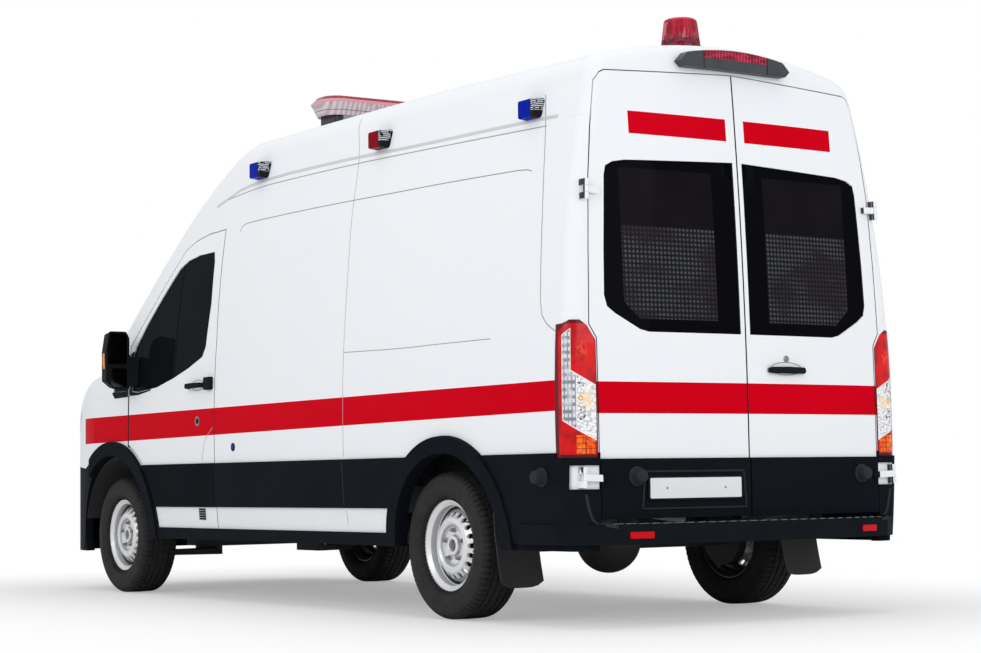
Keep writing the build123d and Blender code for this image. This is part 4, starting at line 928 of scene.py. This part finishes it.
tread = {
    "pitches": 72, "groove": 0.0075, "notch": 0.006, "sipe": 0.0025, "grooves": (0.020, 0.054),
    "wall": (0.0048, 0.0034), "shares": ((0.0, 0), (0.60, 0), (0.66, 1), (0.94, 1)), "shift": 0.35,
    "shoulder": (0.062, 0.109), "middle": (0.050, 0.353),
    "sidewall": [(0.2060, 0.0700), (0.2083, 0.0757), (0.2223, 0.0787), (0.2250, 0.0910), (0.2330, 0.1000),
                 (0.2350, 0.1030), (0.2420, 0.1070), (0.2550, 0.1120), (0.2680, 0.1150), (0.2700, 0.1165),
                 (0.2760, 0.1165), (0.2780, 0.1160), (0.2920, 0.1172), (0.3100, 0.1150), (0.3250, 0.1120),
                 (0.3300, 0.1105), (0.3360, 0.1080), (0.3440, 0.1010), (0.3490, 0.0950), (0.3525, 0.0880),
                 (0.3540, 0.0780), (0.3545, 0.0640)],
}


def treadProfile():
    half = list(tread["sidewall"])
    outer, inner = tread["wall"]
    for middle in reversed(tread["grooves"]):
        top = 0.3558 - middle * 0.02
        low = top - tread["groove"]
        half += [(top, middle + outer), (low, middle + inner), (low, middle - inner), (top, middle - outer)]
    half += [(0.3559, 0.006)]
    return half + [(r, -y) for r, y in reversed(half)]


def tyre(corner):
    x, y, _ = wheelAt[corner]
    profile = treadProfile()
    bm = bmesh.new()
    columns = []
    for pitch in range(tread["pitches"]):
        for share, dip in tread["shares"]:
            column = []
            for r, across in profile:
                shoulder = tread["shoulder"][0] < abs(across) < tread["shoulder"][1]
                middle = abs(across) < tread["middle"][0] and r > tread["middle"][1]
                shift = tread["shift"] if across > 0 else 0.0
                angle = 2 * math.pi * (pitch + share + shift) / tread["pitches"]
                r -= (tread["notch"] if dip and shoulder else 0) + (tread["sipe"] if dip and middle else 0)
                column.append(bm.verts.new((x + r * math.cos(angle), y + across,
                                            wheelSet["height"] + r * math.sin(angle))))
            columns.append(column)
    bridge(bm, columns + columns[:1])
    made = piece("treadedTyre_" + corner, bm, tyreRubber, "wheel_" + corner)
    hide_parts("tyre_" + corner)


def wheelPoint(corner, ring, degrees, out):     # a point on a ring about the wheel's axis
    x, y, side = wheelAt[corner]
    angle = math.radians(degrees)
    return Vector((x + ring * math.cos(angle), y + side * out, wheelSet["height"] + ring * math.sin(angle)))


for name in corners:
    body = "wheel_" + name
    axis = (0, wheelAt[name][2], 0)
    tyre(name)
    for k in range(wheelSet["nuts"]):
        at = wheelPoint(name, wheelSet["nutRing"], 90 + 360 / wheelSet["nuts"] * k, wheelSet["nutFace"])
        turned(f"wheelNut_{name}_{k}", wheelSet["nut"], at, axis, steel, body, 6)
    hub = wheelPoint(name, 0, 0, wheelSet["nutFace"])
    turned("hubRing_" + name, wheelSet["hubRing"], hub, axis, silver, body, 40)
    turned("hubBolt_" + name, wheelSet["hubBolt"], hub, axis, hubIron, body, 12)
    stem = [wheelPoint(name, wheelSet["valveRing"], wheelSet["valveTurn"], out)
            for out, _ in wheelSet["valve"]]
    swept("valve_" + name, stem, [(size, size) for _, size in wheelSet["valve"]], fineBlack, body,
          count=8, square=2)
print("wheels dressed")

# front arch liners, their walls towards the engine, and the panel behind the grille
liner = {"x": 1.9675, "z": 0.356, "radius": 0.482, "inner": 0.516, "outer": 0.996, "thick": 0.003,
         "wallLow": 0.600, "from": 12, "to": 168, "flangeAt": 0.925, "flangeOut": 0.516}


def archLiner(label, side):
    inner, outer = liner["radius"], liner["radius"] + liner["thick"]
    flange, rise = liner["flangeAt"], liner["flangeOut"]        # stands up behind the wing's skin
    section = [(inner, liner["inner"]), (inner, liner["outer"]), (outer, liner["outer"]),
               (outer, flange + liner["thick"]), (rise, flange + liner["thick"]), (rise, flange),
               (outer, flange), (outer, liner["inner"])]
    bm = bmesh.new()

    def corner(r, y, angle):
        return bm.verts.new((liner["x"] + r * math.cos(angle), side * y, liner["z"] + r * math.sin(angle)))

    angles = [math.radians(liner["from"] + (liner["to"] - liner["from"]) * k / 48) for k in range(49)]
    rows = [[corner(r, y, angle) for r, y in section] for angle in angles]
    bridge(bm, rows)
    cap(bm, rows)
    piece("archLiner" + label, bm, gasket, "body")
    bm = bmesh.new()
    start = math.asin((liner["wallLow"] - liner["z"]) / inner)
    arc = [start + (math.pi - 2 * start) * k / 40 for k in range(41)]
    rows = [[corner(inner - 0.001, y, angle) for angle in arc]
            for y in (liner["inner"], liner["inner"] + liner["thick"])]
    bridge(bm, rows)
    cap(bm, rows)
    piece("archWall" + label, bm, gasket, "body")


for label, side in sides:
    archLiner(label, side)
block("grilleBacking", (2.655, -0.620, 0.560), (2.685, 0.620, 1.000), 0.006, gasket, "body")

# mud flaps behind the rear wheels
flap = {"x": -2.215, "inner": 0.752, "outer": 0.992, "top": 0.52, "low": 0.165, "thick": 0.006, "steps": 12,
        "spans": 8, "back": 0.055, "bow": 0.012, "corner": 0.03}


def flapPoint(t, u, side, layer):       # t runs down the flap and u across it
    low = flap["low"] + flap["corner"] * abs(2 * u - 1) ** 4
    x = flap["x"] - flap["back"] * t ** 1.6 + flap["bow"] * math.cos(math.pi * (u - 0.5))
    return (x - layer * flap["thick"], side * (flap["inner"] + (flap["outer"] - flap["inner"]) * u),
            flap["top"] + (low - flap["top"]) * t)


steps, spans = flap["steps"], flap["spans"]
flapRim = ([(0, j) for j in range(spans)] + [(i, spans) for i in range(steps)]
           + [(steps, j) for j in range(spans, 0, -1)] + [(i, 0) for i in range(steps, 0, -1)])
for label, side in sides:
    bm = bmesh.new()
    layers = [[[bm.verts.new(flapPoint(i / steps, j / spans, side, layer)) for j in range(spans + 1)]
               for i in range(steps + 1)] for layer in (0, 1)]
    for rows in layers:
        bridge(bm, rows, looped=False)
    bridge(bm, [[rows[i][j] for i, j in flapRim] for rows in layers])
    piece("mudFlap" + label, bm, gasket, "body")

# mirrors: two crowned glasses in each head, and the blinker on its outer edge
mirrorSet = {"x": 1.605, "back": 0.0045, "crown": 0.0022, "radius": 0.014,
             "glasses": {"Main": ((1.098, 1.400), (1.222, 1.586)),
                         "Wide": ((1.098, 1.262), (1.200, 1.376))},
             "blinker": ((1.640, 1.2335, 1.372, 0.020), (1.646, 1.2345, 1.40, 0.030),
                         (1.648, 1.2345, 1.44, 0.030), (1.646, 1.2335, 1.468, 0.018)), "blinkerDeep": 0.004}
for label, side in sides:
    body = "front_door_" + label.lower()
    for part, (low, high) in mirrorSet["glasses"].items():
        bm = bmesh.new()
        outline = rounded(low, high, mirrorSet["radius"])
        cy, cz = (low[0] + high[0]) / 2, (low[1] + high[1]) / 2
        rings = []
        for share in (1.0, 0.66, 0.33):
            x = mirrorSet["x"] + mirrorSet["back"] - mirrorSet["crown"] * (1 - share * share)
            rings.append([bm.verts.new((x, side * (cy + (a - cy) * share), cz + (b - cz) * share))
                          for a, b in outline])
        middle = bm.verts.new((mirrorSet["x"] + mirrorSet["back"] - mirrorSet["crown"], side * cy, cz))
        bridge(bm, rings)
        for first, second in zip(rings[-1], rings[-1][1:] + rings[-1][:1]):
            bm.faces.new((first, second, middle))
        piece("mirrorGlass" + part + label, bm, mirrorSilver, body)
    swept("mirrorBlinker" + label, [(x, side * y, z) for x, y, z, _ in mirrorSet["blinker"]],
          [(mirrorSet["blinkerDeep"], tall) for *_, tall in mirrorSet["blinker"]], amberLens, body,
          up=(1, 0, 0))

# roof beacon: a fluted lens on a plain foot, drawn as (height, radius)
beacon = {"x": -2.440, "flutes": 44, "depth": 0.0028,
          "lens": [(2.778, 0.0940), (2.782, 0.0956), (2.891, 0.0820), (2.897, 0.076), (2.9035, 0.069),
                   (2.9042, 0.0)],
          "foot": [(2.765, 0.0985), (2.765, 0.0995), (2.771, 0.0998), (2.775, 0.0985), (2.778, 0.094)]}
turned("beaconLens", beacon["lens"], (beacon["x"], 0, 0), (0, 0, 1), beaconRed, "body",
       flutes=beacon["flutes"], depth=beacon["depth"])
turned("beaconFoot", beacon["foot"], (beacon["x"], 0, 0), (0, 0, 1), beaconRed, "body", 48)

# glazing bars, and black sails between the mirror's arm and the windscreen pillar
bars = {"front": [(1.132, 1.300), (1.120, 1.990)], "sliding": [(-0.2, 1.45), (-0.2, 2.0)], "height": 0.003,
        "frontWidth": 0.022, "slidingWidth": 0.020}
sails = {"door": [(1.737, 1.212), (1.737, 1.468), (1.693, 1.486), (1.693, 1.236), (1.605, 1.229),
                  (1.430, 1.2415), (1.430, 1.235), (1.600, 1.214)],
         "body": [(1.753, 1.208), (1.946, 1.204), (1.985, 1.236), (1.975, 1.244), (1.753, 1.244)],
         "edge": [(1.753, 1.244), (1.774, 1.244), (1.774, 1.452), (1.753, 1.470)],
         "lift": 0.003, "step": 0.03}
layBead("slidingWindowBar", skinOf("fixed_glass"), "right", bars["sliding"], bars["slidingWidth"],
        bars["height"], cladding, "body")
for label, side in sides:
    view = label.lower()
    layBead("windowBar" + label, skinOf("front_glass_" + view), view, bars["front"], bars["frontWidth"],
            bars["height"], cladding, "front_door_" + view)
    for part in ("door", "body", "edge"):
        onDoor = part == "door"
        layPatch(part + "Sail" + label, doorSkin[view] if onDoor else sideSkin[view], view, sails[part],
                 sails["lift"], fineBlack, "front_door_" + view if onDoor else "body",
                 sails["step"], sails["lift"])
print("lamps, mirrors and glazing dressed")

# cab seats; each row is (middle, width, places), and a part is (x, z, length, thickness, lean, channels)
seatForm = {"rows": ((0.450, 0.520, 1), (-0.420, 0.900, 2)), "foam": 0.34, "channel": 0.010, "welt": 0.018,
            "base": (0.680, 1.080, 0.531, 0.862, 0.03, 0.012),
            "Cushion": (0.895, 0.920, 0.480, 0.135, 0, (-0.35, 0.35)),
            "Back": (0.706, 1.165, 0.500, 0.115, -83, (-0.30, 0.25, 0.6)),
            "rest": (0.651, 1.500, 0.150, 0.250, 0.090), "posts": {"a": -0.05, "b": 0.05},
            "post": ((0.672, 1.380), (0.664, 1.430), (0.656, 1.480)), "postSize": 0.010}


def cushion(name, centre, size, lean, channels, places):
    # a closed crowned form; channels are sewn across it and places splits it into sitting places
    bm = bmesh.new()
    bmesh.ops.create_cube(bm, size=2)
    bmesh.ops.subdivide_edges(bm, edges=bm.edges[:], cuts=22, use_grid_fill=True)

    def ball(u, v, w):
        return u * math.sqrt(1 - v * v / 2 - w * w / 2 + v * v * w * w / 3)

    def sewn(away, wide):
        return math.exp(-(away / wide) ** 2)

    for v in bm.verts:
        a, b, c = v.co
        crowned = Vector((ball(a, b, c), ball(b, c, a), ball(c, a, b)))
        full = Vector((a, b, c)).lerp(crowned, seatForm["foam"])
        dip = 0
        if c > 0.5:
            dip += sum(sewn(a - at, 0.035) for at in channels)
            dip += sum(1.5 * sewn(b + 1 - 2 * k / places, 0.02) for k in range(1, places))
            for k in range(places):
                middle = -1 + (2 * k + 1) / places
                dip += sum(0.8 * sewn(b - middle - edge / places, 0.03 / places) for edge in (-0.72, 0.72))
        full.z -= dip * seatForm["channel"] / size[2]
        grow = 1 + seatForm["welt"] * sewn(c, 0.07)
        v.co = Vector((full.x * grow * size[0] / 2, full.y * grow * size[1] / 2, full.z * size[2] / 2))
    bmesh.ops.rotate(bm, verts=bm.verts, cent=(0, 0, 0), matrix=Matrix.Rotation(math.radians(lean), 3, "Y"))
    bmesh.ops.translate(bm, verts=bm.verts, vec=centre)
    made = piece(name, bm, seatCloth, "body")
    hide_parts("cab_seats")


for middle, width, places in seatForm["rows"]:
    label = "Driver" if places == 1 else "Double"
    x0, x1, z0, z1, inset, radius = seatForm["base"]
    half = width / 2 - inset
    block("seatBase" + label, (x0, middle - half, z0), (x1, middle + half, z1), radius, cabPlastic, "body")
    for part in ("Cushion", "Back"):
        x, z, long, thick, lean, channels = seatForm[part]
        cushion("seat" + part + label, (x, middle, z), (long, width, thick), lean, channels, places)
    for k in range(places):
        y = middle + (k + 0.5 - places / 2) * width / places
        x, z, *size = seatForm["rest"]
        cushion(f"headRest{label}{k}", (x, y, z), size, seatForm["Back"][4], (), 1)
        for post, shift in seatForm["posts"].items():
            swept(f"headPost{label}{k}_{post}", [(x, y + shift, z) for x, z in seatForm["post"]],
                  [(seatForm["postSize"], seatForm["postSize"])] * 3, steel, "body",
                  up=(1, 0, 0), count=10, square=2)
print("cab seats padded")

# floor, light and camera; the floor turns white away from the van
studio = {"floor": (0.86, 0.86, 0.865), "floorDull": (0.84, 0.84, 0.845), "under": (2.9, 1.1),
          "world": 0.73, "clearFrom": 0.1, "clearTo": 2.6, "haze": 0.36,
          "lamps": {"overhead": ((-0.5, 0.5, 7.5), (-0.5, 0, 0), (9, 6), 120.0),
                    "leftSide": ((-3, 9, 4.5), (0, 0, 1.2), (8, 4), 205.0),
                    "behind": ((-10, -1, 4.0), (-2.5, 0, 1.2), (6, 4), 165.0)}}
bm = bmesh.new()
bmesh.ops.create_grid(bm, x_segments=2, y_segments=2, size=60)
mesh = bpy.data.meshes.new("studioFloor")
bm.to_mesh(mesh)
bm.free()
floor = bpy.data.objects.new("studioFloor", mesh)
scene.collection.objects.link(floor)
s = Shader("studioFloor")
floorTone = s.mix(studio["floor"], studio["floorDull"], s.noise(0.3))
matt = s.add("ShaderNodeBsdfDiffuse", {}, {"Color": floorTone})
glow = s.add("ShaderNodeEmission", {}, {"Color": (1, 1, 1, 1), "Strength": 1.0})
seen = s.add("ShaderNodeLightPath", out="Is Camera Ray")
past = [(abs(at) - half).most(0.0) for at, half in zip(s.place(), studio["under"])]
away = apart(*past).root()
share = away.eased(studio["clearFrom"], studio["clearTo"]) * (1 - studio["haze"]) + studio["haze"]
floor.data.materials.append(s.close(s.add("ShaderNodeMixShader", {}, {0: seen * share, 1: matt, 2: glow})))

world = bpy.data.worlds.new("studioWorld")
scene.world = world
s = Shader("studioWorld", world)
rays = [s.add("ShaderNodeLightPath", out=ray) for ray in ("Is Camera Ray", "Is Transmission Ray")]
strength = studio["world"] + rays[0].most(rays[1]) * (1 - studio["world"])
s.close(s.add("ShaderNodeBackground", {}, {"Color": (1, 1, 1, 1), "Strength": strength}),
        "ShaderNodeOutputWorld")

for name, (at, aim, size, power) in studio["lamps"].items():
    light = bpy.data.lights.new(name, "AREA")
    light.shape, light.size, light.size_y, light.energy = "RECTANGLE", size[0], size[1], power
    made = bpy.data.objects.new(name, light)
    made.location = at
    made.rotation_euler = (Vector(aim) - Vector(at)).to_track_quat("-Z", "Y").to_euler()
    scene.collection.objects.link(made)

view = {"at": (-10.728, 6.718, 0.676), "yaw": -33.92, "pitch": 3.96, "roll": -0.78, "focal": 2195,
        "wide": 981, "sensor": 36}
yaw, pitch, roll = (math.radians(view[k]) for k in ("yaw", "pitch", "roll"))
ahead = Vector((math.cos(yaw) * math.cos(pitch), math.sin(yaw) * math.cos(pitch), math.sin(pitch)))
level = Vector((math.sin(yaw), -math.cos(yaw), 0))
above = level.cross(ahead)
right = level * math.cos(roll) + above * math.sin(roll)
up = above * math.cos(roll) - level * math.sin(roll)
lens = bpy.data.cameras.new("camera")
lens.sensor_width = view["sensor"]
lens.lens = view["focal"] * view["sensor"] / view["wide"]
camera = bpy.data.objects.new("camera", lens)
turn = Matrix((right, up, -ahead)).transposed().to_4x4()
camera.matrix_world = Matrix.Translation(view["at"]) @ turn
scene.collection.objects.link(camera)
scene.camera = camera
scene.view_settings.view_transform = "Standard"

print("scene ready")
